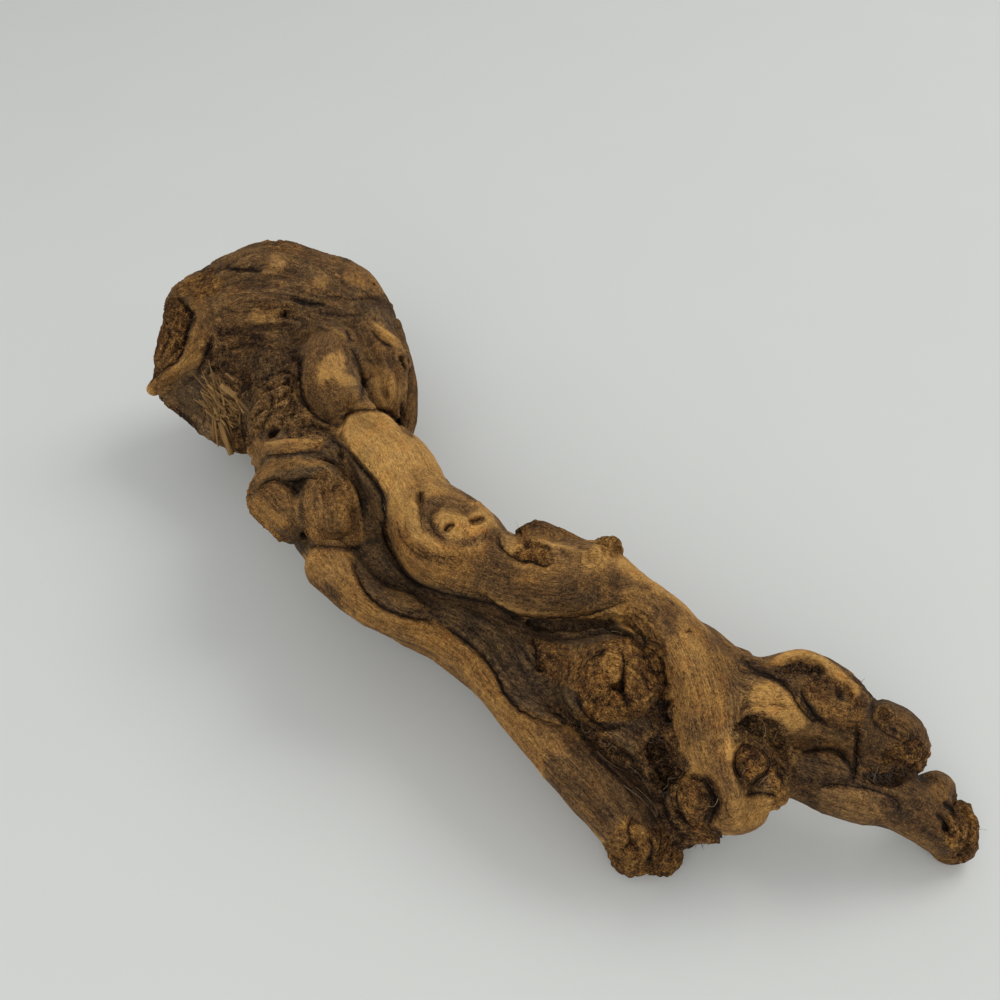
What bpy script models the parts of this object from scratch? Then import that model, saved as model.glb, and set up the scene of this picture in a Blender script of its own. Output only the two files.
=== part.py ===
"""A gnarled length of old grapevine trunk, lying on three low points.

The wood grew as one piece, so it is one solid. Each strand of the trunk is a
tapered limb, given as stations (x, y, z, radius) in millimetres. The thick
limbs are merged first and smoothed until they flow into one another, then the
thin folds, lips and knobs are merged onto them and smoothed less. Hollows and
deep creases are cut out, a flat is taken off each low point, and the torn
splinters at the broken side of the head are joined on.

+X runs along the trunk from the thick head to the thin tail, +Z is up, and the
origin is on the surface that the wood lies on, under the middle of its box.
"""
import math
import random

import bmesh
import bpy
from mathutils import Matrix, Vector

# Driving dimensions, in millimetres
MM = 0.001
TRUNK_GRID = 2.6
FOLD_GRID = 2.0
TRUNK_SMOOTHING = 14
FOLD_SMOOTHING = 4
TRIANGLES = 6900
CUT_GRID = 1.2
CUT_SHARE = 0.03
FLAT_CUT_DEPTH = 40.0
SPLINTER_COUNT = 16
SPLINTER_LENGTH = (20.0, 40.0)
SPLINTER_RADIUS = (1.6, 2.8)
SPLINTER_SINK = 9.0
SPLINTER_SIDES = 4

WOOD_COLOUR = (0.27, 0.15, 0.07, 1.0)
WOOD_ROUGHNESS = 0.8

# Thick limbs: the head, the neck and the strands of the trunk
TRUNK = {
    "head_core": [(-229, 21, 78, 36), (-207, 36, 82, 42), (-185, 50, 78, 38)],
    "head_crown": [(-257, 13, 86, 26), (-242, 35, 94, 29), (-227, 51, 100, 30), (-208, 66, 97, 26),
                   (-196, 78, 90, 26), (-180, 76, 84, 22)],
    "head_right": [(-178, 74, 80, 23), (-156, 60, 72, 19), (-140, 48, 60, 16), (-127, 39, 44, 13)],
    "head_left": [(-247, -6, 74, 15), (-219, -6, 68, 19), (-183, -8, 66, 21)],
    "jaw": [(-244, 26, 58, 28), (-208, 34, 46, 32), (-172, 38, 46, 28)],
    "jaw_front": [(-222, 2, 46, 20), (-180, 4, 44, 24)],
    "head_foot": [(-182, 20, 50, 34), (-192, 12, 20, 22)],
    "neck": [(-169, 9, 72, 28), (-124, -27, 72, 28), (-96, -44, 68, 29)],
    "spine": [(-102, -25, 60, 26), (-39, -33, 56, 26), (21, -36, 54, 27), (70, -30, 53, 27),
              (116, -28, 52, 27), (150, -28, 52, 24), (175, -15, 50, 18)],
    "core": [(-100, -41, 64, 28), (-60, -56, 58, 25), (-27, -65, 53, 24), (1, -63, 49, 22),
             (27, -58, 47, 23), (57, -55, 45, 25), (89, -55, 44, 26), (120, -57, 43, 27),
             (146, -54, 42, 25), (167, -49, 42, 20), (179, -38, 42, 17)],
    "shear_face": [(-246, -18, 64, 13), (-222, -20, 60, 17), (-196, -20, 58, 19)],
    "rear_high": [(-152, 46, 56, 19), (-105, 10, 50, 19), (-50, -12, 50, 16), (10, -18, 56, 16),
                  (60, -12, 54, 15), (110, -8, 50, 15), (150, -2, 50, 14)],
    "rear_low": [(-150, 34, 44, 17), (-95, -2, 38, 16), (-30, -24, 34, 15), (35, -24, 32, 15),
                 (95, -18, 32, 14), (140, -18, 34, 13), (176, -16, 38, 12)],
    "rear_knob": [(-64, 6, 48, 14), (-52, 8, 50, 16)],
    "rear_burl": [(56, 4, 44, 16), (70, 4, 38, 14)],
    "rear_bud": [(132, 7, 38, 13), (142, 4, 32, 11)],
    "web": [(144, -70, 26, 15), (166, -66, 30, 13), (179, -58, 34, 10)],
    "tail": [(177, -36, 46, 20), (197, -26, 45, 13.5), (220, -16, 42, 16), (236, -6, 36, 13.5),
             (249, 1, 28, 12), (260, 7, 19, 11.5), (266, 12, 11, 11)],
}

# Thin limbs, folds and lips that stay distinct on the trunk
FOLDS = {
    "upper": [(-65, -25, 100, 16), (-40, -31, 96, 20), (-12, -43, 92, 20), (16, -50, 90, 25),
              (41, -47, 87, 18), (64, -37, 86, 20), (83, -22, 85, 18), (105, -20, 82, 13)],
    "fall": [(87, -24, 84, 15), (109, -21, 83, 15), (127, -25, 82, 15), (143, -32, 79, 16),
             (158, -42, 72, 16), (170, -52, 60, 16), (181, -58, 47, 15), (188, -57, 40, 12)],
    "lower": [(-31, -89, 74, 12.5), (-14, -91, 69, 9.5), (4, -89, 65, 9), (28, -80, 61, 8.5),
              (50, -79, 59, 8.5), (73, -83, 56, 9.5), (97, -86, 52, 12), (122, -88, 46, 13.5),
              (141, -87, 36, 15), (155, -85, 22, 14)],
    "back": [(138, -21, 66, 20), (157, -25, 66, 20), (174, -19, 68, 18), (189, -6, 69, 20),
             (204, 1, 62, 17)],
    "wrist": [(210, 3, 56, 12), (225, 11, 52, 16), (235, 13, 46, 9)],
    "underside": [(-130, -20, 42, 16), (-70, -52, 36, 14), (-10, -58, 31, 13), (50, -60, 28, 13),
                  (105, -66, 24, 13), (145, -78, 16, 12)],
    "horn": [(69, -16, 86, 9), (57, -20, 93, 8.5), (49, -24, 97, 7.5), (46, -28, 98, 6)],
    "ridge": [(58, -21, 91, 7), (69, -16, 89, 8), (79, -8, 93, 6.3)],
    "lobe": [(-169, 32, 92, 13), (-148, 25, 97, 17), (-124, -1, 102, 18), (-103, -10, 99, 15)],
    "cheek": [(-159, 63, 88, 17), (-130, 46, 84, 17), (-109, 28, 76, 13)],
    "shorn": [(-257, -3, 88, 13), (-249, -22, 78, 10), (-245, -37, 66, 4.5)],
    "lip": [(-275, 7, 99, 5.5), (-258, 8, 99, 6.5), (-241, 1, 97, 6.5), (-230, -12, 91, 6.5),
            (-233, -23, 80, 6), (-241, -33, 70, 5.5), (-250, -40, 59, 4.5)],
    "skirt": [(-237, -36, 60, 8), (-217, -31, 52, 11), (-183, -26, 52, 15)],
    "torn_root": [(-213, -24, 58, 11), (-189, -29, 50, 10)],
    "strap": [(-167, 98, 74, 4.5), (-144, 82, 70, 5.5), (-123, 66, 62, 5.5), (-107, 48, 52, 5.5),
              (-95, 26, 46, 5.5)],
    "collar_fold": [(-120, -60, 87, 6), (-107, -61, 93, 5.5), (-95, -55, 98, 5.5), (-84, -46, 100, 5.5),
                    (-75, -40, 99, 5)],
    "neck_fold": [(-99, -77, 84, 5), (-98, -70, 90, 5), (-88, -62, 95, 5), (-75, -56, 96, 5),
                  (-61, -53, 94, 4.5), (-47, -56, 87, 4)],
    "neck_knob": [(-89, -77, 79, 13), (-73, -78, 74, 12)],
    "neck_scar": [(-76, -52, 77, 14), (-59, -62, 77, 17), (-48, -69, 71, 12)],
    "burl": [(115, -64, 70, 15), (117, -54, 72, 18), (127, -53, 69, 16), (126, -35, 64, 11)],
    "burl_side": [(80, -60, 58, 13), (98, -59, 64, 15), (108, -51, 68, 14)],
    "burl_chin": [(120, -63, 62, 13), (131, -58, 58, 11)],
    "front_knobs": [(187, -47, 62, 9), (197, -48, 54, 9)],
    "ochre_knob": [(176, -71, 52, 9.5), (177, -66, 46, 9)],
    "belly": [(193, -56, 44, 9), (185, -60, 40, 10)],
    "heel": [(153, -86, 12, 11), (162, -85, 9.5, 10.5), (167, -78, 12, 9)],
    "scrap": [(170, -76, 20, 6), (176, -72, 24, 5), (184, -67, 28, 4.5)],
    "tail_bud": [(249, 10, 27, 11), (251, 22, 24, 8.5)],
    "tail_end": [(267, 18, 14, 8), (267, 11, 8.5, 9.5), (264, 20, 19, 6)],
    "back_scar": [(201, -5, 74, 14), (204, 0, 70, 14)],
    "bead": [(79, -8, 92, 6.5), (80, -7, 95.5, 6.5)],
    "rear_fold": [(-122, 18, 66, 8), (-80, -4, 64, 8), (-40, -14, 68, 7), (0, -20, 76, 7), (36, -22, 76, 6)],
}

# Hollows and deep creases, as tubes that are cut out
HOLLOWS = {
    "main_hollow": [(124, -82, 62, 5), (140, -76, 60, 7), (154, -71, 56, 8), (163, -72, 48, 7),
                    (168, -78, 38, 5)],
    "gap_under_limb": [(-62, -46, 92, 2.5), (-40, -62, 86, 3), (-14, -71, 74, 3.5), (14, -75, 73, 3.5),
                       (34, -74, 74, 4), (52, -63, 74, 4.5), (72, -54, 74, 5), (90, -46, 75, 4.5),
                       (106, -42, 78, 3.5), (121, -45, 79, 3), (134, -51, 76, 3.5), (146, -58, 66, 4)],
    "lower_crease": [(-20, -80, 76, 2.5), (4, -77, 66, 3), (30, -74, 67, 3), (54, -76, 65, 3),
                     (79, -79, 63, 3), (103, -83, 62, 3)],
    "head_grain_rear": [(-240, 0, 104, 2.5), (-226, 23, 118, 3), (-204, 45, 123, 3), (-176, 64, 111, 2.5)],
    "head_grain_front": [(-219, -8, 97, 2.5), (-201, 13, 115, 3.2), (-183, 34, 117, 3.2), (-163, 52, 107, 2.5)],
    "lobe_crease": [(-154, 40, 104, 2.5), (-160, 26, 106, 3), (-160, 11, 98, 3), (-130, -18, 102, 3),
                    (-104, -26, 97, 3)],
    "cheek_crease": [(-148, 42, 99, 3), (-127, 26, 97, 3.5), (-98, 2, 98, 3)],
    "scar_rim": [(-44, -54, 84, 3), (-39, -57, 79, 3), (-32, -72, 77, 2.5)],
    "burl_rim": [(120, -38, 84, 3), (134, -43, 87, 3), (142, -50, 82, 3.5), (143, -54, 70, 3.5),
                 (141, -62, 64, 3)],
    "burl_left": [(109, -55, 88, 2.5), (106, -66, 82, 2.8), (114, -77, 77, 2.8), (124, -76, 69, 2.5)],
    "heel_split": [(159, -88, 36, 3), (163, -92, 28, 3.5), (168, -88, 16, 3)],
    "knuckle_crease": [(214, 4, 79, 2.5), (218, -3, 70, 3), (226, 0, 62, 2.5)],
    "front_pocket": [(178, -45, 78, 5), (183, -33, 74, 7), (193, -29, 62, 7), (202, -36, 56, 5)],
    "wrist_gap": [(217, -10, 62, 3.5), (219, -10, 56, 4), (223, -15, 50, 3.5)],
    "back_crease": [(172, -13, 86, 2.5), (185, -9, 88, 3.5), (196, 0, 88, 2.5)],
    "burl_eye": [(131, -74, 86, 3.6), (127, -62, 78, 3.4)],
    "cheek_eye": [(-110, 46, 94, 3.6), (-118, 48, 84, 3.4)],
    "shear_pocket": [(-214, -38, 72, 6), (-198, -34, 74, 7), (-180, -38, 76, 6)],
    "rear_crease": [(-90, 26, 56, 4), (-40, 8, 50, 5), (20, 2, 52, 5), (66, 16, 60, 4)],
    "lip_crack": [(-262, 3, 106, 3.2), (-245, -3, 102, 3.6), (-238, -14, 94, 3.6), (-241, -24, 84, 3.2)],
}

# The torn side of the head: where the splinters are rooted, and the way the middle one points
TORN_CENTRE = Vector((-203, -27, 60))
TORN_REACH = (15.0, 7.0, 12.0)
TORN_AIM = Vector((-0.28, -0.86, -0.10))
TORN_FAN = 0.75


def clear_scene():
    """Remove every object of the scene."""
    for old in list(bpy.data.objects):
        bpy.data.objects.remove(old, do_unlink=True)


def new_collection(name):
    """Make a collection in the scene."""
    group = bpy.data.collections.new(name)
    bpy.context.scene.collection.children.link(group)
    return group


def wood_material():
    """The weathered brown of the whole piece."""
    material = bpy.data.materials.new("vine_wood")
    material.use_nodes = True
    shader = material.node_tree.nodes["Principled BSDF"]
    shader.inputs["Base Color"].default_value = WOOD_COLOUR
    shader.inputs["Roughness"].default_value = WOOD_ROUGHNESS
    shader.inputs["Metallic"].default_value = 0.0
    return material


def evaluated_mesh(item):
    """The mesh of an object with its modifiers applied."""
    bpy.context.view_layer.update()
    return bpy.data.meshes.new_from_object(item.evaluated_get(bpy.context.evaluated_depsgraph_get()))


def limb_mesh(name, stations):
    """A tapered tube through the stations, with a ball at each end."""
    curve = bpy.data.curves.new(name, "CURVE")
    curve.dimensions = "3D"
    curve.bevel_depth = MM
    curve.bevel_resolution = 4
    curve.resolution_u = 6
    curve.use_fill_caps = True
    spline = curve.splines.new("BEZIER")
    spline.radius_interpolation = "CARDINAL"
    spline.bezier_points.add(len(stations) - 1)
    for point, (x, y, z, radius) in zip(spline.bezier_points, stations):
        point.co = Vector((x, y, z)) * MM
        point.radius = radius
        point.handle_left_type = "AUTO"
        point.handle_right_type = "AUTO"
    tube = bpy.data.objects.new(name, curve)
    bpy.context.scene.collection.objects.link(tube)
    mesh = evaluated_mesh(tube)
    mesh.transform(tube.matrix_world)
    bpy.data.objects.remove(tube, do_unlink=True)

    shape = bmesh.new()
    shape.from_mesh(mesh)
    bpy.data.meshes.remove(mesh)
    bmesh.ops.remove_doubles(shape, verts=shape.verts, dist=0.01 * MM)
    for x, y, z, radius in (stations[0], stations[-1]):
        place = Matrix.Translation(Vector((x, y, z)) * MM)
        bmesh.ops.create_uvsphere(shape, u_segments=20, v_segments=12, radius=radius * MM, matrix=place)
    return shape


def joined_limbs(name, limbs, group, base=None):
    """One object that holds every limb, still as loose overlapping shells."""
    whole = bmesh.new()
    if base:
        whole.from_mesh(base)
    for limb, stations in limbs.items():
        shape = limb_mesh(limb, stations)
        mesh = bpy.data.meshes.new(limb)
        shape.to_mesh(mesh)
        shape.free()
        whole.from_mesh(mesh)
        bpy.data.meshes.remove(mesh)
    mesh = bpy.data.meshes.new(name)
    whole.to_mesh(mesh)
    whole.free()
    item = bpy.data.objects.new(name, mesh)
    group.objects.link(item)
    return item


def merge(item, grid, smoothing):
    """Merge the shells on a fine grid and smooth the joins, and return the mesh."""
    remesh = item.modifiers.new("merge", "REMESH")
    remesh.mode = "VOXEL"
    remesh.voxel_size = grid * MM
    smooth = item.modifiers.new("flow", "SMOOTH")
    smooth.factor = 0.5
    smooth.iterations = smoothing
    mesh = evaluated_mesh(item)
    bpy.data.objects.remove(item, do_unlink=True)
    return mesh


def add_cutters(group):
    """The hollows and creases, as closed tools."""
    for name, stations in HOLLOWS.items():
        cutter = joined_limbs(name, {name: stations}, group)
        cutter.hide_render = True
        cutter.display_type = "WIRE"
        remesh = cutter.modifiers.new("merge", "REMESH")
        remesh.mode = "VOXEL"
        remesh.voxel_size = CUT_GRID * MM
        thin = cutter.modifiers.new("thin", "DECIMATE")
        thin.ratio = CUT_SHARE


def add_floor_cutter(group):
    """A block under the resting surface, which takes the flats off the low points."""
    mesh = bpy.data.meshes.new("below_rest")
    shape = bmesh.new()
    size = Matrix.Diagonal((0.9, 0.5, FLAT_CUT_DEPTH * MM, 1.0))
    place = Matrix.Translation((0, 0, -0.5 * FLAT_CUT_DEPTH * MM))
    bmesh.ops.create_cube(shape, size=1.0, matrix=place @ size)
    shape.to_mesh(mesh)
    shape.free()
    block = bpy.data.objects.new("below_rest", mesh)
    block.hide_render = True
    block.display_type = "WIRE"
    group.objects.link(block)


def add_splinters(group):
    """Torn splinters, each a thin cone with its root sunk in the wood."""
    draw = random.Random(41)
    for number in range(SPLINTER_COUNT):
        turn = Vector([draw.uniform(-TORN_FAN, TORN_FAN) for _ in range(3)])
        aim = (TORN_AIM + turn).normalized()
        root = TORN_CENTRE + Vector([draw.uniform(-reach, reach) for reach in TORN_REACH])
        length = draw.uniform(*SPLINTER_LENGTH)
        radius = draw.uniform(*SPLINTER_RADIUS)
        shape = bmesh.new()
        bmesh.ops.create_cone(shape, cap_ends=True, segments=SPLINTER_SIDES, radius1=radius * MM,
                              radius2=0.35 * radius * MM, depth=length * MM)
        middle = root + aim * (0.5 * length - SPLINTER_SINK)
        place = Matrix.Translation(middle * MM) @ aim.to_track_quat("Z", "Y").to_matrix().to_4x4()
        bmesh.ops.transform(shape, matrix=place, verts=shape.verts)
        mesh = bpy.data.meshes.new("splinter")
        shape.to_mesh(mesh)
        shape.free()
        splinter = bpy.data.objects.new(f"splinter_{number}", mesh)
        group.objects.link(splinter)


def boolean(item, name, operation, group):
    """Add a Boolean with every object of a collection."""
    step = item.modifiers.new(name, "BOOLEAN")
    step.operation = operation
    step.operand_type = "COLLECTION"
    step.collection = group


def apply_steps(item):
    """Put the evaluated mesh in the object and drop its modifiers."""
    mesh = evaluated_mesh(item)
    item.modifiers.clear()
    item.data = mesh


def centre_on_footprint(mesh):
    """Move the mesh so that the middle of its footprint is at the origin."""
    xs = [vertex.co.x for vertex in mesh.vertices]
    ys = [vertex.co.y for vertex in mesh.vertices]
    shift = Vector((-0.5 * (min(xs) + max(xs)), -0.5 * (min(ys) + max(ys)), 0.0))
    mesh.transform(Matrix.Translation(shift))


def build():
    """Grow the piece: limbs, folds, hollows, flats and splinters."""
    clear_scene()
    group = new_collection("grapewood_parts")
    cutters = new_collection("cutters")
    splinters = new_collection("splinters")

    trunk = merge(joined_limbs("trunk", TRUNK, group), TRUNK_GRID, TRUNK_SMOOTHING)
    form = merge(joined_limbs("form", FOLDS, group, base=trunk), FOLD_GRID, FOLD_SMOOTHING)
    wood = bpy.data.objects.new("grapewood", form)
    group.objects.link(wood)

    thin = wood.modifiers.new("thin", "DECIMATE")
    thin.ratio = TRIANGLES / sum(len(face.vertices) - 2 for face in form.polygons)
    apply_steps(wood)

    add_cutters(cutters)
    add_floor_cutter(cutters)
    add_splinters(splinters)
    boolean(wood, "splinters", "UNION", splinters)
    boolean(wood, "hollows_and_flats", "DIFFERENCE", cutters)
    apply_steps(wood)
    for group_of_tools in (cutters, splinters):
        for tool in list(group_of_tools.objects):
            bpy.data.objects.remove(tool, do_unlink=True)
        bpy.data.collections.remove(group_of_tools)

    centre_on_footprint(wood.data)
    wood.data.materials.clear()
    wood.data.materials.append(wood_material())
    wood.data.shade_smooth()
    wood.data.set_sharp_from_angle(angle=math.radians(50))


build()
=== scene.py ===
"""Dresses a gnarled length of grapevine trunk: its worn surface, torn splinters and loose fibres.

The wood's form is a signed field: tapered limbs are merged on a fine grid, thin folds are laid on
them, and gaps and bores are cut out. The surface of the field is then shaped by grain, cracks and
knots, and every point gets the attributes that its finish reads: a coordinate that follows the
grain, how pale, warm and rough the wood is there, how much dirt and painted shade lie in it, and
how much painted light and shade its edges and hollows get.

Lengths are millimetres in the form and metres in the scene. A place on the surface that the photo
shows is given as a pixel (u, v) of its 1000 x 1000 frame, and is found by a ray from the camera.
"""
import logging
import math
from dataclasses import dataclass, field
from enum import Enum

import bpy
import numpy as np
import openvdb
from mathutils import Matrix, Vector
from mathutils.bvhtree import BVHTree

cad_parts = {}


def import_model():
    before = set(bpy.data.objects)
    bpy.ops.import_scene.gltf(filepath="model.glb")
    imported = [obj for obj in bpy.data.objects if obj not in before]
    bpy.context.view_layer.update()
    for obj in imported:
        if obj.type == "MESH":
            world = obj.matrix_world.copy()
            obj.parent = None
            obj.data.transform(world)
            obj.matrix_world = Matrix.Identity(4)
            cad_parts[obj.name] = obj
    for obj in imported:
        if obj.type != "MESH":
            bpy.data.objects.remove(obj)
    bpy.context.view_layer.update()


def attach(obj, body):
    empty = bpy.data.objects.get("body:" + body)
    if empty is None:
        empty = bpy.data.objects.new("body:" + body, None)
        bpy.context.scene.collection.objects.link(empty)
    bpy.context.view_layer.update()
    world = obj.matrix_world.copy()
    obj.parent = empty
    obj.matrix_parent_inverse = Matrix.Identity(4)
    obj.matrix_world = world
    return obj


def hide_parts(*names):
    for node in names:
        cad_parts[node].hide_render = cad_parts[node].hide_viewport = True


LOG = logging.getLogger("grapewood")
MM = 0.001

# What a point holds that is far from the leading limbs, in mm, or from any crack, in crack widths
NO_LEAD = 60.0
NO_SPLIT = 9.0

# Seeds of the random draws
OUTLINE_WAVES = 5
OUTLINE_FRINGE = 6
SPLINTER_DRAW = 7
CRACK_JAGS = 9
FIBRE_DRAW = 11
LUMPS = 21
GRAIN_LINES = 22
ROPES = 23

# The part's own shift from the design frame, in which the limbs are given, to its footprint's middle
FOOTPRINT_SHIFT = np.array([2.7, -0.2, 0.0])


@dataclass(frozen=True)
class Bark:
    """How one kind of wood surface looks.

    Args:
        pale: 0 for dark weathered wood, 1 for pale stripped wood.
        warm: 0 for grey, 1 for ochre.
        rough: 0 for smooth, 1 for fibrous or corky.
    """

    pale: float
    warm: float
    rough: float


class Skin(Enum):
    """The kinds of surface that the trunk shows."""

    STRIPPED = Bark(0.83, 0.86, 0.10)
    TAN = Bark(0.55, 0.76, 0.14)
    HONEY = Bark(0.47, 0.88, 0.12)
    DUN = Bark(0.52, 0.50, 0.10)
    BROWN = Bark(0.42, 0.62, 0.20)
    UMBER = Bark(0.36, 0.50, 0.16)
    PEAT = Bark(0.29, 0.46, 0.18)
    WEATHERED = Bark(0.40, 0.44, 0.38)
    ASH = Bark(0.55, 0.12, 0.20)
    SLATE = Bark(0.35, 0.17, 0.20)
    TWISTED = Bark(0.42, 0.52, 0.95)
    OCHRE = Bark(0.40, 0.90, 0.80)
    FIBROUS = Bark(0.26, 0.52, 1.00)
    BROKEN = Bark(0.33, 0.88, 1.00)


@dataclass(frozen=True)
class Limb:
    """A tapered strand of the trunk.

    Args:
        blend: How far, in mm, it flows into what it meets.
        skin: Its kind of surface.
        stations: Points (x, y, z, radius) in mm, in the design frame.
        leads: Whether the lines in the dark core run along this limb's edge.
    """

    blend: float
    skin: Skin
    stations: tuple
    leads: bool = False

    def path(self, steps: int = 5) -> np.ndarray:
        """A smooth curve through the stations.

        Args:
            steps: How many pieces lie between two stations.

        Returns:
            An array of points (x, y, z, radius) in the part's frame.
        """
        knots = np.array(self.stations, float)
        knots[:, :3] += FOOTPRINT_SHIFT
        return smooth_path(knots, steps)


def smooth_path(knots: np.ndarray, steps: int) -> np.ndarray:
    """A Catmull-Rom curve through the knots.

    Args:
        knots: Points, one a row.
        steps: How many pieces lie between two knots.

    Returns:
        The curve's points, one a row.
    """
    padded = np.vstack([2 * knots[0] - knots[1], knots, 2 * knots[-1] - knots[-2]])
    points = []
    for a, b, c, d in zip(padded[:-3], padded[1:-2], padded[2:-1], padded[3:]):
        for step in range(steps):
            t = step / steps
            cubic = (2 * b + (c - a) * t + (2 * a - 5 * b + 4 * c - d) * t**2
                     + (3 * b - a - 3 * c + d) * t**3)
            points.append(0.5 * cubic)
    points.append(knots[-1])
    return np.array(points)


def unit(vectors: np.ndarray) -> np.ndarray:
    """Vectors at length one."""
    return vectors / np.maximum(np.linalg.norm(vectors, axis=-1, keepdims=True), 1e-9)


def spots(text: str) -> np.ndarray:
    """The pixels that a text such as "371,322 381,332" names, one a row."""
    return np.array([pair.split(",") for pair in text.split()], float)


def lengths_along(path: np.ndarray) -> np.ndarray:
    """The length of a path up to each of its points."""
    return np.concatenate([[0], np.cumsum(np.linalg.norm(np.diff(path, axis=0), axis=1))])


def placed(name: str, data: bpy.types.ID) -> bpy.types.Object:
    """A new object in the scene that shows a mesh, a lamp or a lens."""
    item = bpy.data.objects.new(name, data)
    bpy.context.scene.collection.objects.link(item)
    return item


def fade(values: np.ndarray, low: float, high: float) -> np.ndarray:
    """A smooth step from 0 at low to 1 at high."""
    t = np.clip((values - low) / (high - low), 0.0, 1.0)
    return t * t * (3 - 2 * t)


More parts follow.
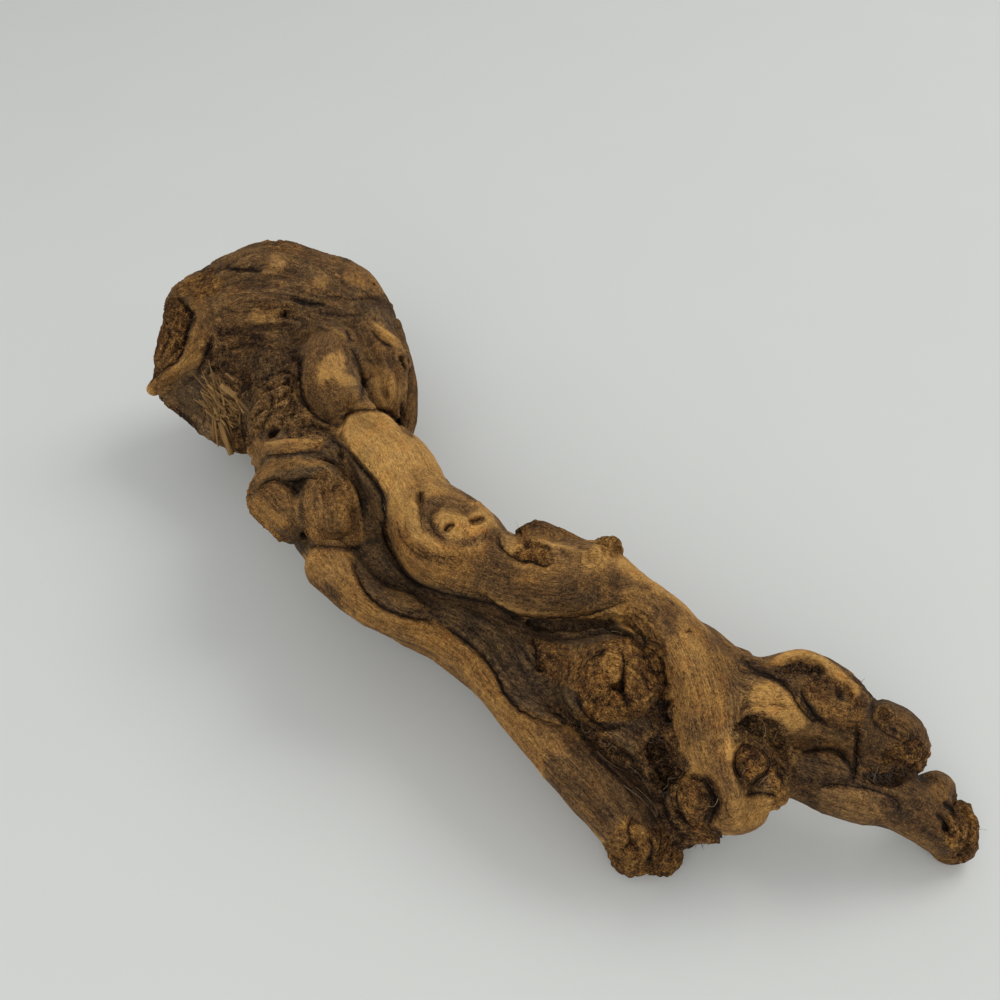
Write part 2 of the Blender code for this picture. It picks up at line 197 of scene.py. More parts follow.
LIMBS = {
    "head_core": Limb(12, Skin.WEATHERED, ((-229, 21, 78, 36), (-207, 36, 82, 42), (-185, 50, 78, 38))),
    "head_crown": Limb(10, Skin.WEATHERED, (
        (-257, 13, 86, 26), (-242, 35, 94, 29), (-227, 51, 100, 30), (-208, 66, 97, 26),
        (-196, 78, 90, 26), (-180, 76, 84, 22))),
    "head_right": Limb(8, Skin.WEATHERED, (
        (-178, 74, 80, 23), (-156, 60, 72, 19), (-140, 48, 60, 16), (-127, 39, 44, 13))),
    "head_left": Limb(8, Skin.WEATHERED, ((-247, -6, 74, 15), (-219, -6, 68, 19), (-183, -8, 66, 21))),
    "jaw": Limb(12, Skin.WEATHERED, ((-244, 26, 58, 28), (-208, 34, 46, 32), (-172, 38, 46, 28))),
    "jaw_front": Limb(10, Skin.FIBROUS, ((-222, 2, 46, 20), (-180, 4, 44, 24))),
    "head_foot": Limb(14, Skin.BROWN, ((-182, 20, 50, 34), (-192, 12, 20, 22))),
    "shear_face": Limb(6, Skin.SLATE, ((-246, -18, 64, 13), (-222, -20, 60, 17), (-196, -20, 58, 19))),
    "skirt": Limb(6, Skin.FIBROUS, ((-237, -36, 60, 8), (-217, -31, 52, 11), (-183, -26, 52, 15))),
    "torn_root": Limb(4, Skin.BROKEN, ((-213, -24, 58, 11), (-189, -29, 50, 10))),
    "neck": Limb(16, Skin.SLATE, ((-169, 9, 72, 28), (-124, -27, 72, 28), (-96, -44, 68, 29))),
    "spine": Limb(10, Skin.WEATHERED, (
        (-102, -25, 60, 26), (-39, -33, 56, 26), (21, -36, 54, 27), (70, -30, 53, 27),
        (116, -28, 52, 27), (150, -28, 52, 24), (175, -15, 50, 18))),
    "rear_high": Limb(7, Skin.WEATHERED, (
        (-152, 46, 56, 19), (-105, 10, 50, 19), (-50, -12, 50, 16), (10, -18, 56, 16),
        (60, -12, 54, 15), (110, -8, 50, 15), (150, -2, 50, 14))),
    "rear_low": Limb(6, Skin.BROWN, (
        (-150, 34, 44, 17), (-95, -2, 38, 16), (-30, -24, 34, 15), (35, -24, 32, 15),
        (95, -18, 32, 14), (140, -18, 34, 13), (176, -16, 38, 12))),
    "rear_knob": Limb(9, Skin.BROWN, ((-64, 3, 48, 13), (-52, 4, 49, 14))),
    "rear_burl": Limb(7, Skin.OCHRE, ((56, 4, 44, 16), (70, 4, 38, 14))),
    "rear_bud": Limb(8, Skin.BROWN, ((132, 7, 38, 13), (142, 4, 32, 11))),
    "rear_fold": Limb(3, Skin.STRIPPED, (
        (-122, 18, 66, 8), (-80, -4, 64, 8), (-40, -14, 68, 7), (0, -20, 76, 7), (36, -22, 76, 6))),
    "underside": Limb(4, Skin.BROWN, (
        (-130, -20, 42, 16), (-70, -52, 36, 14), (-10, -58, 31, 13), (50, -60, 28, 13),
        (105, -66, 24, 13), (145, -78, 16, 12))),
    "core": Limb(6, Skin.SLATE, (
        (-100, -41, 64, 28), (-60, -56, 58, 25), (-27, -65, 53, 24), (1, -63, 49, 22),
        (27, -58, 47, 23), (57, -55, 45, 25), (89, -55, 44, 26), (120, -57, 43, 27),
        (146, -54, 42, 25), (167, -49, 42, 20), (179, -38, 42, 17))),
    "web": Limb(5, Skin.FIBROUS, ((144, -70, 26, 15), (166, -66, 30, 13), (179, -58, 34, 10))),
    "lower": Limb(1.4, Skin.STRIPPED, (
        (-31, -89, 74, 13), (-14, -91, 69, 10.5), (4, -89, 65, 9.5), (28, -80, 61, 9),
        (50, -79, 59, 9), (73, -83, 56, 10), (97, -86, 52, 12), (122, -88, 46, 14),
        (141, -87, 36, 15), (155, -85, 22, 14))),
    "upper": Limb(1.5, Skin.STRIPPED, (
        (-65, -25, 100, 16), (-40, -31, 96, 20), (-12, -43, 92, 20), (16, -50, 90, 25),
        (41, -47, 87, 18), (64, -37, 86, 20), (83, -22, 85, 18), (105, -20, 82, 13)), leads=True),
    "fall": Limb(3, Skin.STRIPPED, (
        (87, -24, 84, 15), (109, -21, 83, 15), (127, -25, 82, 15), (143, -32, 79, 16),
        (158, -42, 72, 16), (170, -52, 60, 16), (181, -58, 47, 15), (188, -57, 40, 12)), leads=True),
    "back": Limb(5, Skin.BROWN, (
        (138, -21, 66, 20), (157, -25, 66, 20), (174, -19, 68, 18), (189, -6, 69, 20), (204, 1, 62, 17))),
    "wrist": Limb(4, Skin.WEATHERED, ((210, 3, 56, 12), (225, 11, 52, 16), (235, 13, 46, 9))),
    "tail": Limb(5, Skin.UMBER, (
        (177, -36, 46, 20), (197, -26, 45, 13.5), (220, -16, 42, 16), (236, -6, 36, 13.5),
        (249, 1, 28, 12), (260, 7, 19, 11.5), (266, 12, 11, 11))),
    "horn": Limb(2.5, Skin.OCHRE, (
        (69, -16, 86, 9), (57, -20, 93, 8.5), (49, -24, 97, 7.5), (46, -28, 98, 6))),
    "ridge": Limb(2.5, Skin.BROWN, ((58, -21, 91, 7), (69, -16, 89, 8), (79, -8, 93, 6.3))),
    "lobe": Limb(5, Skin.BROWN, (
        (-169, 32, 92, 13), (-148, 25, 97, 17), (-124, -1, 102, 18), (-103, -10, 99, 15))),
    "cheek": Limb(6, Skin.WEATHERED, ((-159, 63, 88, 17), (-130, 46, 84, 17), (-109, 28, 76, 13))),
    "shorn": Limb(4, Skin.BROKEN, ((-257, -3, 88, 13), (-249, -22, 78, 10), (-245, -37, 66, 4.5))),
    "lip": Limb(1, Skin.STRIPPED, (
        (-275, 7, 99, 4.5), (-258, 8, 99, 6), (-241, 1, 97, 6.5), (-230, -12, 91, 6.5),
        (-233, -23, 80, 6), (-241, -33, 70, 5.5), (-250, -40, 59, 4.5))),
    "strap": Limb(1, Skin.BROWN, (
        (-168, 97, 74, 4.5), (-146, 80, 70, 5.5), (-125, 64, 62, 5.8), (-109, 46, 52, 5.8),
        (-97, 24, 46, 5.5))),
    "collar_fold": Limb(1.2, Skin.STRIPPED, (
        (-125, -56.5, 82, 5.5), (-109, -59.5, 91, 5), (-95, -55, 98, 4.8), (-84, -46, 100, 4.5),
        (-75, -40, 99, 4))),
    "neck_band": Limb(4, Skin.SLATE, (
        (-96, -44, 76, 16), (-78, -42, 81, 14), (-63, -43, 80, 12.5), (-50, -48, 76, 11.5),
        (-38, -54, 70, 11))),
    "saddle": Limb(6, Skin.BROWN, ((-104, -12, 90, 11), (-84, -20, 88, 11.5), (-66, -27, 88, 12))),
    "neck_fold": Limb(1.2, Skin.STRIPPED, (
        (-99, -77, 84, 4.5), (-98, -70, 90, 4.2), (-88, -62, 95, 4), (-75, -56, 96, 3.8),
        (-61, -53, 94, 3.5), (-47, -56, 87, 3))),
    "neck_knob": Limb(3, Skin.OCHRE, ((-89, -77, 79, 13), (-73, -78, 74, 12))),
    "neck_scar": Limb(2, Skin.OCHRE, ((-76, -52, 77, 14), (-59, -62, 77, 17), (-48, -69, 71, 12))),
    "burl": Limb(3, Skin.OCHRE, (
        (115, -64, 70, 15), (117, -54, 72, 18), (127, -53, 69, 16), (126, -35, 64, 11))),
    "burl_side": Limb(5, Skin.OCHRE, ((80, -60, 58, 13), (98, -59, 64, 15), (108, -51, 68, 14))),
    "burl_chin": Limb(4, Skin.OCHRE, ((120, -63, 62, 13), (131, -58, 58, 11))),
    "front_knob": Limb(1.2, Skin.OCHRE, ((186, -47, 63, 9), (189, -48, 61, 8.5))),
    "front_bud": Limb(1.2, Skin.OCHRE, ((196, -48, 54, 9), (199, -47, 52, 7))),
    "ochre_knob": Limb(1.5, Skin.OCHRE, ((174, -71, 52, 9.5), (176, -68, 46, 9))),
    "belly": Limb(4, Skin.STRIPPED, ((193, -56, 44, 9), (185, -60, 40, 10))),
    "heel_left": Limb(1.4, Skin.OCHRE, ((152, -86, 14, 10.5), (157, -88, 9.5, 10.5))),
    "heel_right": Limb(1.4, Skin.BROKEN, ((168, -81, 11, 10), (166, -76, 15, 9))),
    "scrap": Limb(2, Skin.FIBROUS, ((170, -76, 20, 6), (176, -72, 24, 5), (184, -67, 28, 4.5))),
    "tail_bud": Limb(2.5, Skin.UMBER, ((249, 10, 27, 11), (251, 22, 24, 8.5))),
    "tail_end": Limb(1.5, Skin.BROKEN, ((267, 18, 14, 8), (267, 11, 8.5, 9.5), (264, 20, 19, 6))),
    "back_scar": Limb(2, Skin.OCHRE, ((199, -7, 74, 14), (204, -2, 71, 13.5))),
    "bead": Limb(1.2, Skin.OCHRE, ((79, -8, 92, 6.2), (80, -7, 95, 6.2))),
}


@dataclass(frozen=True)
class Fold:
    """A thin strand laid along pixels: its radius, and how far its middle is above the surface, in mm."""

    pixels: str
    radius: float
    lift: float
    skin: Skin
    blend: float = 1.0


@dataclass(frozen=True)
class Gap:
    """A channel cut along pixels: its radius, and how far its middle is below the surface, in mm."""

    pixels: str
    radius: float
    sink: float


@dataclass(frozen=True)
class Bore:
    """A hole at a pixel: its radius and its depth in mm."""

    pixel: tuple
    radius: float
    depth: float


@dataclass(frozen=True)
class Crack:
    """A fine split along pixels: its half width and depth in mm, and the dirt and painted shade in it."""

    pixels: str
    width: float
    depth: float
    dirt_and_shade: float = 1.0


@dataclass(frozen=True)
class Ring:
    """A knot at a pixel: its radius in mm, its raised rim, its sunk middle, how dark its outline is."""

    pixel: tuple
    radius: float
    rim: float
    bowl: float
    line: float = 0.0


@dataclass(frozen=True)
class Patch:
    """A stretch of another skin at a pixel: half sizes in pixels, turn in degrees, strength."""

    pixel: tuple
    size: tuple
    turn: float
    skin: Skin
    strength: float = 1.0


@dataclass(frozen=True)
class Region:
    """A stretch of skin that the camera sees, by its outline; the edge is how many pixels it fades over."""

    skin: Skin
    outline: str
    strength: float = 1.0
    edge: float = 1.8


FOLDS = (
    # Rolled folds of the cheek, and the arch over the lobe
    Fold("371,322 381,332 398,342", 2.6, 0.2, Skin.STRIPPED),
    Fold("293,342 306,331 325,328 338,334 350,346", 2.4, -0.4, Skin.WEATHERED),
    Fold("372,372 378,380 376,390 383,405", 1.9, 0.0, Skin.STRIPPED),
    Fold("391,374 392,388 390,402", 1.8, -0.2, Skin.STRIPPED),
    Fold("396,357 400,354 406,356 409,364 404,370 398,366", 1.6, 0.3, Skin.BROWN),
    # Flared wood between the lobe, the cheek and the upper limb
    Fold("351,350 360,370 366,390 376,408", 7.0, -1.0, Skin.WEATHERED, 4.0),
    Fold("350,392 358,402 368,414 374,422", 6.0, -0.5, Skin.TAN, 3.0),
    # Layers that fill the neck between its folds
    Fold("256,462 275,456 300,454 326,455 340,462", 4.6, 1.2, Skin.SLATE, 2.0),
    Fold("262,482 280,475 302,473 318,476", 5.5, 1.9, Skin.ASH, 2.0),
    # Twisted bark between the head and the neck
    Fold("262,384 274,378 288,372", 3.2, 0.6, Skin.FIBROUS),
    Fold("258,402 270,390 284,384 294,378", 3.4, 1.0, Skin.WEATHERED),
    Fold("254,420 266,406 280,396 290,390", 3.6, 1.2, Skin.WEATHERED),
    Fold("252,434 262,424 276,414 288,404", 3.2, 1.0, Skin.FIBROUS),
    Fold("288,428 300,421 316,423 328,428", 3.0, 0.8, Skin.FIBROUS),
    Fold("300,408 310,414 322,420", 2.4, 0.6, Skin.WEATHERED),
    Fold("252,450 254,444 260,446", 3.6, 1.2, Skin.OCHRE),
    # Core wood that fills the valley beside the lower limb
    Fold("360,562 372,584 392,599 417,606 448,614 474,630 495,654 510,684 534,704", 9.0, -5.0, Skin.SLATE,
        8.0),
    Fold("372,548 386,574 404,588 430,598 462,606 492,622 512,648 526,676 546,700", 9.0, -6.0, Skin.SLATE,
        8.0),
    # The crust under the upper limb's edge, and a thin layer above the burl
    Fold("377,506 379,524 384,546 394,566 409,582 434,594", 1.6, -0.4, Skin.FIBROUS),
    Fold("556,631 576,634 593,630 612,627", 1.5, 0.1, Skin.SLATE),
    # The rim round the oval scar of the neck
    Fold("348,479 356,496 361,516 362,540", 1.3, 0.3, Skin.STRIPPED),
    Fold("302,490 298,506 302,524 309,534", 1.6, 0.2, Skin.BROWN),
    # The whorl and the rims of the slits on the upper limb
    Fold("434,520 441,515 450,516 459,522 452,533", 1.5, 0.1, Skin.STRIPPED),
    Fold("468,507 478,503 489,505 496,510", 1.5, -0.1, Skin.STRIPPED),
    Fold("463,518 472,526 484,524 492,519", 1.5, -0.1, Skin.STRIPPED),
    # Rims on the back: the pale arc over the fibrous crease, and the line under the orange patch
    Fold("772,663 788,657 804,656 820,662 836,673 852,686", 2.8, 0.2, Skin.STRIPPED),
    Fold("843,742 850,748 855,756", 3.0, -1.4, Skin.UMBER, 2.0),
    # The folded end of the bud, and the torn edge of the cut end
    Fold("926,775 938,781 945,792 940,801", 2.4, 0.3, Skin.BROWN),
    Fold("950,812 960,808 970,818 972,834 966,850", 2.2, 0.0, Skin.BROKEN),
    # The lower edge of the lower limb near its start, and the flare at its foot
    Fold("470,660 496,690 524,722 552,750", 2.2, -0.6, Skin.STRIPPED),
    Fold("585,748 600,768 622,796 640,818", 2.4, -0.4, Skin.BROWN),
    # Ridges that arch over the head
    Fold("212,316 240,300 275,300 312,309 352,318", 2.2, -0.9, Skin.WEATHERED),
    Fold("222,334 246,322 272,322 300,320", 2.4, -0.9, Skin.WEATHERED),
    Fold("205,302 240,283 290,281 340,292", 2.0, -1.0, Skin.WEATHERED),
)

GAPS = (
    Gap("344,446 356,461 372,479 380,492 383,505", 1.5, 0.4),
    Gap("383,505 385,528 390,548 398,564", 1.7, 0.8),
    Gap("519,622 545,625 570,627 590,625 612,620 630,625 645,640", 3.6, 2.8),
    Gap("645,640 661,655 667,678 665,700 668,722", 2.8, 1.6),
    Gap("578,726 600,742 622,762 640,782 658,800", 4.2, 1.6),
    Gap("648,740 656,752 660,766 662,780 660,794", 5.6, 4.6),
    Gap("736,728 752,722 768,727 780,742 786,758", 3.4, 1.2),
    Gap("859,728 858,748 856,770", 1.3, 0.5),
    Gap("866,776 884,780 902,776 914,768", 3.4, 1.6),
    Gap("776,669 796,665 814,665 822,670", 3.4, 1.2),
    Gap("178,296 190,314 194,319 187,343 169,366 156,381", 1.5, 0.5),
    Gap("214,334 209,352 200,370 182,385 166,394", 1.7, 0.5),
    Gap("406,392 403,404 402,416", 1.8, 0.4),
    Gap("419,493 420,500 421,507", 1.7, 0.5),
    Gap("442,531 447,528 452,526", 1.5, 0.5),
    Gap("469,523 477,521 485,518", 1.8, 0.7),
    Gap("383,386 385,392 386,400", 1.5, 0.4),
    Gap("554,546 563,551 571,557 578,556", 1.4, 0.4),
    Gap("697,775 711,784 717,803 710,824", 2.0, 0.6),
    Gap("735,757 739,774 746,790", 1.4, 0.4),
    Gap("751,790 763,779 769,770", 1.2, 0.4),
    Gap("639,834 636,846 641,862", 2.0, 0.8),
    Gap("208,372 222,366 238,372 250,384", 3.6, 1.0),
    Gap("296,350 299,366 297,382", 2.6, 0.8),
    Gap("520,532 522,541 528,548", 2.2, 0.4),
)

BORES = (
    Bore((272, 432), 4.4, 7.0),
    Bore((295, 415), 2.2, 5.0),
    Bore((285, 314), 3.0, 2.6),
    Bore((402, 359), 2.9, 6.0),
    Bore((404.5, 366), 2.7, 6.0),
    Bore((305, 536), 2.4, 4.5),
    Bore((617.5, 687), 3.0, 7.0),
    Bore((656, 752), 5.4, 13.0),
    Bore((663, 779), 5.8, 13.0),
    Bore((840, 694), 2.2, 1.8),
    Bore((852, 692), 1.2, 1.6),
    Bore((691, 631), 1.0, 1.2),
    Bore((358, 269), 1.2, 1.8),
    Bore((375, 284), 1.5, 2.0),
    Bore((302, 245), 4.0, 3.0),
    Bore((245, 388), 3.2, 4.0),
    Bore((946, 827), 2.4, 3.0),
    Bore((539, 667), 2.2, 1.6),
)

CRACKS = (
    Crack("225,267 236,269 250,270 262,272", 0.45, 1.8),
    Crack("290,298 300,301 312,304 328,304", 0.6, 2.0),
    Crack("345,330 349,337 353,343", 0.50, 1.4),
    Crack("369,330 380,340 394,349", 0.55, 1.6),
    Crack("302,354 300,372 301,391 306,404 316,416 330,424", 0.66, 2.0),
    Crack("350,348 360,366 363,386 361,404", 0.55, 1.2, 0.6),
    Crack("288,482 298,482 308,478 318,480", 0.45, 0.9),
    Crack("257,491 265,483 276,480 287,485 296,496", 0.4, 0.8, 0.8),
    Crack("260,457 275,455 300,453 324,452", 0.45, 1.0, 0.8),
    Crack("343,425 346,416 356,411 371,410 385,411 396,419 403,432", 0.5, 1.5),
    Crack("421,490 420,497 421,504", 1.2, 2.4),
    Crack("443,531 448,527 455,524", 0.8, 1.6),
    Crack("434,516 431,524 436,534 446,541", 0.35, 0.6, 0.6),
    Crack("469,523 477,521 485,518", 1.0, 2.0),
    Crack("634,817 628,828 630,842 622,852", 0.5, 1.3, 0.9),
    Crack("668,782 664,800 668,818 678,832", 0.6, 1.4),
    Crack("703,776 712,790 716,806 710,824", 0.5, 1.4),
    Crack("212,340 206,356 197,372", 0.5, 1.4),
    Crack("310,547 330,546 352,549 362,545", 0.55, 1.6),
    Crack("351,556 357,575 367,594 382,607 406,617 438,622", 0.66, 2.2),
    Crack("438,622 456,634 477,651 493,669 506,696 526,714 548,722 570,727", 0.72, 2.2),
    Crack("420,505 421,520 423,534", 0.33, 0.8, 0.6),
    Crack("497,533 503,550 521,561 531,561 543,566 554,563", 0.55, 1.8),
    Crack("460,590 485,596 506,613 526,617 551,619 584,616 609,608 627,600", 0.50, 1.3),
    Crack("531,636 535,649 538,664", 0.50, 1.6),
    Crack("622,649 624,666 622,687 626,699 628,712", 0.55, 2.4),
    Crack("606,648 598,655 590,657", 0.44, 1.2),
    Crack("647,666 656,672 666,672", 0.39, 1.4),
    Crack("642,672 646,681 649,692", 0.39, 1.4),
    Crack("660,655 665,668 666,690", 0.66, 2.2),
    Crack("576,691 583,712 606,728 626,724", 0.66, 2.0, 0.8),
    Crack("591,751 612,770 630,790 641,806", 0.39, 1.0, 0.7),
    Crack("740,656 756,670 783,683 804,713 820,723", 0.50, 1.5),
    Crack("768,704 778,705 789,709", 0.28, 0.7, 0.7),
    Crack("800,690 812,712 828,726", 0.61, 2.0),
    Crack("852,676 868,690 880,702", 0.50, 1.2),
    Crack("800,752 820,749 838,752 850,765", 0.55, 1.6),
    Crack("873,700 872,718 880,728", 0.39, 1.0),
    Crack("887,727 898,733 909,739", 0.4, 0.8, 0.7),
    Crack("890,722 903,727 915,738", 0.4, 0.8, 0.7),
    Crack("878,729 890,736 906,744", 0.4, 0.8, 0.6),
    Crack("757,746 745,745 737,752 735,765 740,778 747,789", 0.5, 1.4),
    Crack("757,746 766,754 770,766 764,775 756,781 748,788", 0.45, 1.2),
    Crack("745,795 756,793 768,794 777,796", 0.5, 1.2),
    Crack("770,756 776,768 782,780 786,790", 0.45, 1.0),
    Crack("859,727 857,742 856,762 853,782", 0.5, 1.2),
    Crack("840,752 848,760 852,774", 0.5, 1.0),
    Crack("727,796 726,808 730,820", 0.35, 0.5, 0.5),
    Crack("680,784 676,798 682,816 694,828", 0.5, 1.2),
    Crack("489,638 500,660 512,684 530,702", 0.3, 0.4, 0.4),
    Crack("506,632 516,656 530,686 550,704", 0.3, 0.4, 0.4),
    Crack("462,622 486,644 498,670", 0.3, 0.3, 0.35),
    Crack("436,508 430,518 434,528 446,536", 0.35, 0.4, 0.5),
    Crack("394,508 400,534 414,552 436,562 462,564", 0.3, 0.4, 0.6),
    Crack("404,514 409,538 422,552 442,557 468,556", 0.3, 0.4, 0.5),
    Crack("943,803 951,808 956,818", 0.55, 2.0),
    Crack("936,812 944,822 950,836", 0.55, 1.6),
    Crack("650,836 652,850 648,866", 0.44, 1.6),
    Crack("384,584 398,586 414,594 424,603 420,611 404,611 388,602", 0.3, 0.4, 0.6),
    Crack("440,600 470,610 500,628 524,652 540,684", 0.3, 0.4, 0.4),
    Crack("172,330 166,346 158,362", 0.4, 1.0, 0.7),
    Crack("177,297 186,306 193,316 188,329 185,343 179,359 166,368 154,378", 0.6, 1.4),
    Crack("346,449 358,463 373,480 381,492 384,510 387,536", 0.7, 1.2, 0.9),
    Crack("810,790 834,784 858,787 880,792 896,800 898,810 884,818", 0.4, 0.5, 0.75),
    Crack("264,384 272,396 270,412 262,428", 0.4, 1.0, 0.8),
    Crack("396,560 405,573 419,585 445,594 472,600 497,606 520,620", 0.8, 1.2, 0.95),
    Crack("330,440 338,444 346,449", 0.6, 1.0, 0.9),
    Crack("230,348 252,344 272,350 290,346", 0.35, 0.7, 0.6),
    Crack("214,306 236,312 262,310 284,306", 0.3, 0.6, 0.5),
    Crack("330,296 352,300 374,298 390,306", 0.3, 0.6, 0.5),
    Crack("318,312 346,316 372,312", 0.3, 0.5, 0.45),
)

RINGS = (
    Ring((274, 243), 4.6, 0.7, 0.5, 0.35),
    Ring((278, 262), 5.0, 1.8, -1.8),
    Ring((320, 281), 4.0, 1.4, -1.4),
    Ring((257, 317), 4.6, 1.5, -1.5),
    Ring((218, 319), 1.6, 0.5, -0.5),
    Ring((591, 558), 5.0, 1.2, 0.2, 0.4),
    Ring((606, 545), 3.0, 0.6, -0.4),
    Ring((884, 715), 5.2, 0.8, 0.2, 0.6),
    Ring((884, 715), 2.4, 0.0, 0.4, 0.4),
    Ring((539, 667), 4.0, 0.5, 0.8, 0.3),
)

# The outline of the oval scar on the neck
NECK_SCAR = ("303,491 312,476 325,469 338,473 349,484 355,500 360,516 361,538 350,549 335,549 318,548 "
             "308,532 303,511")

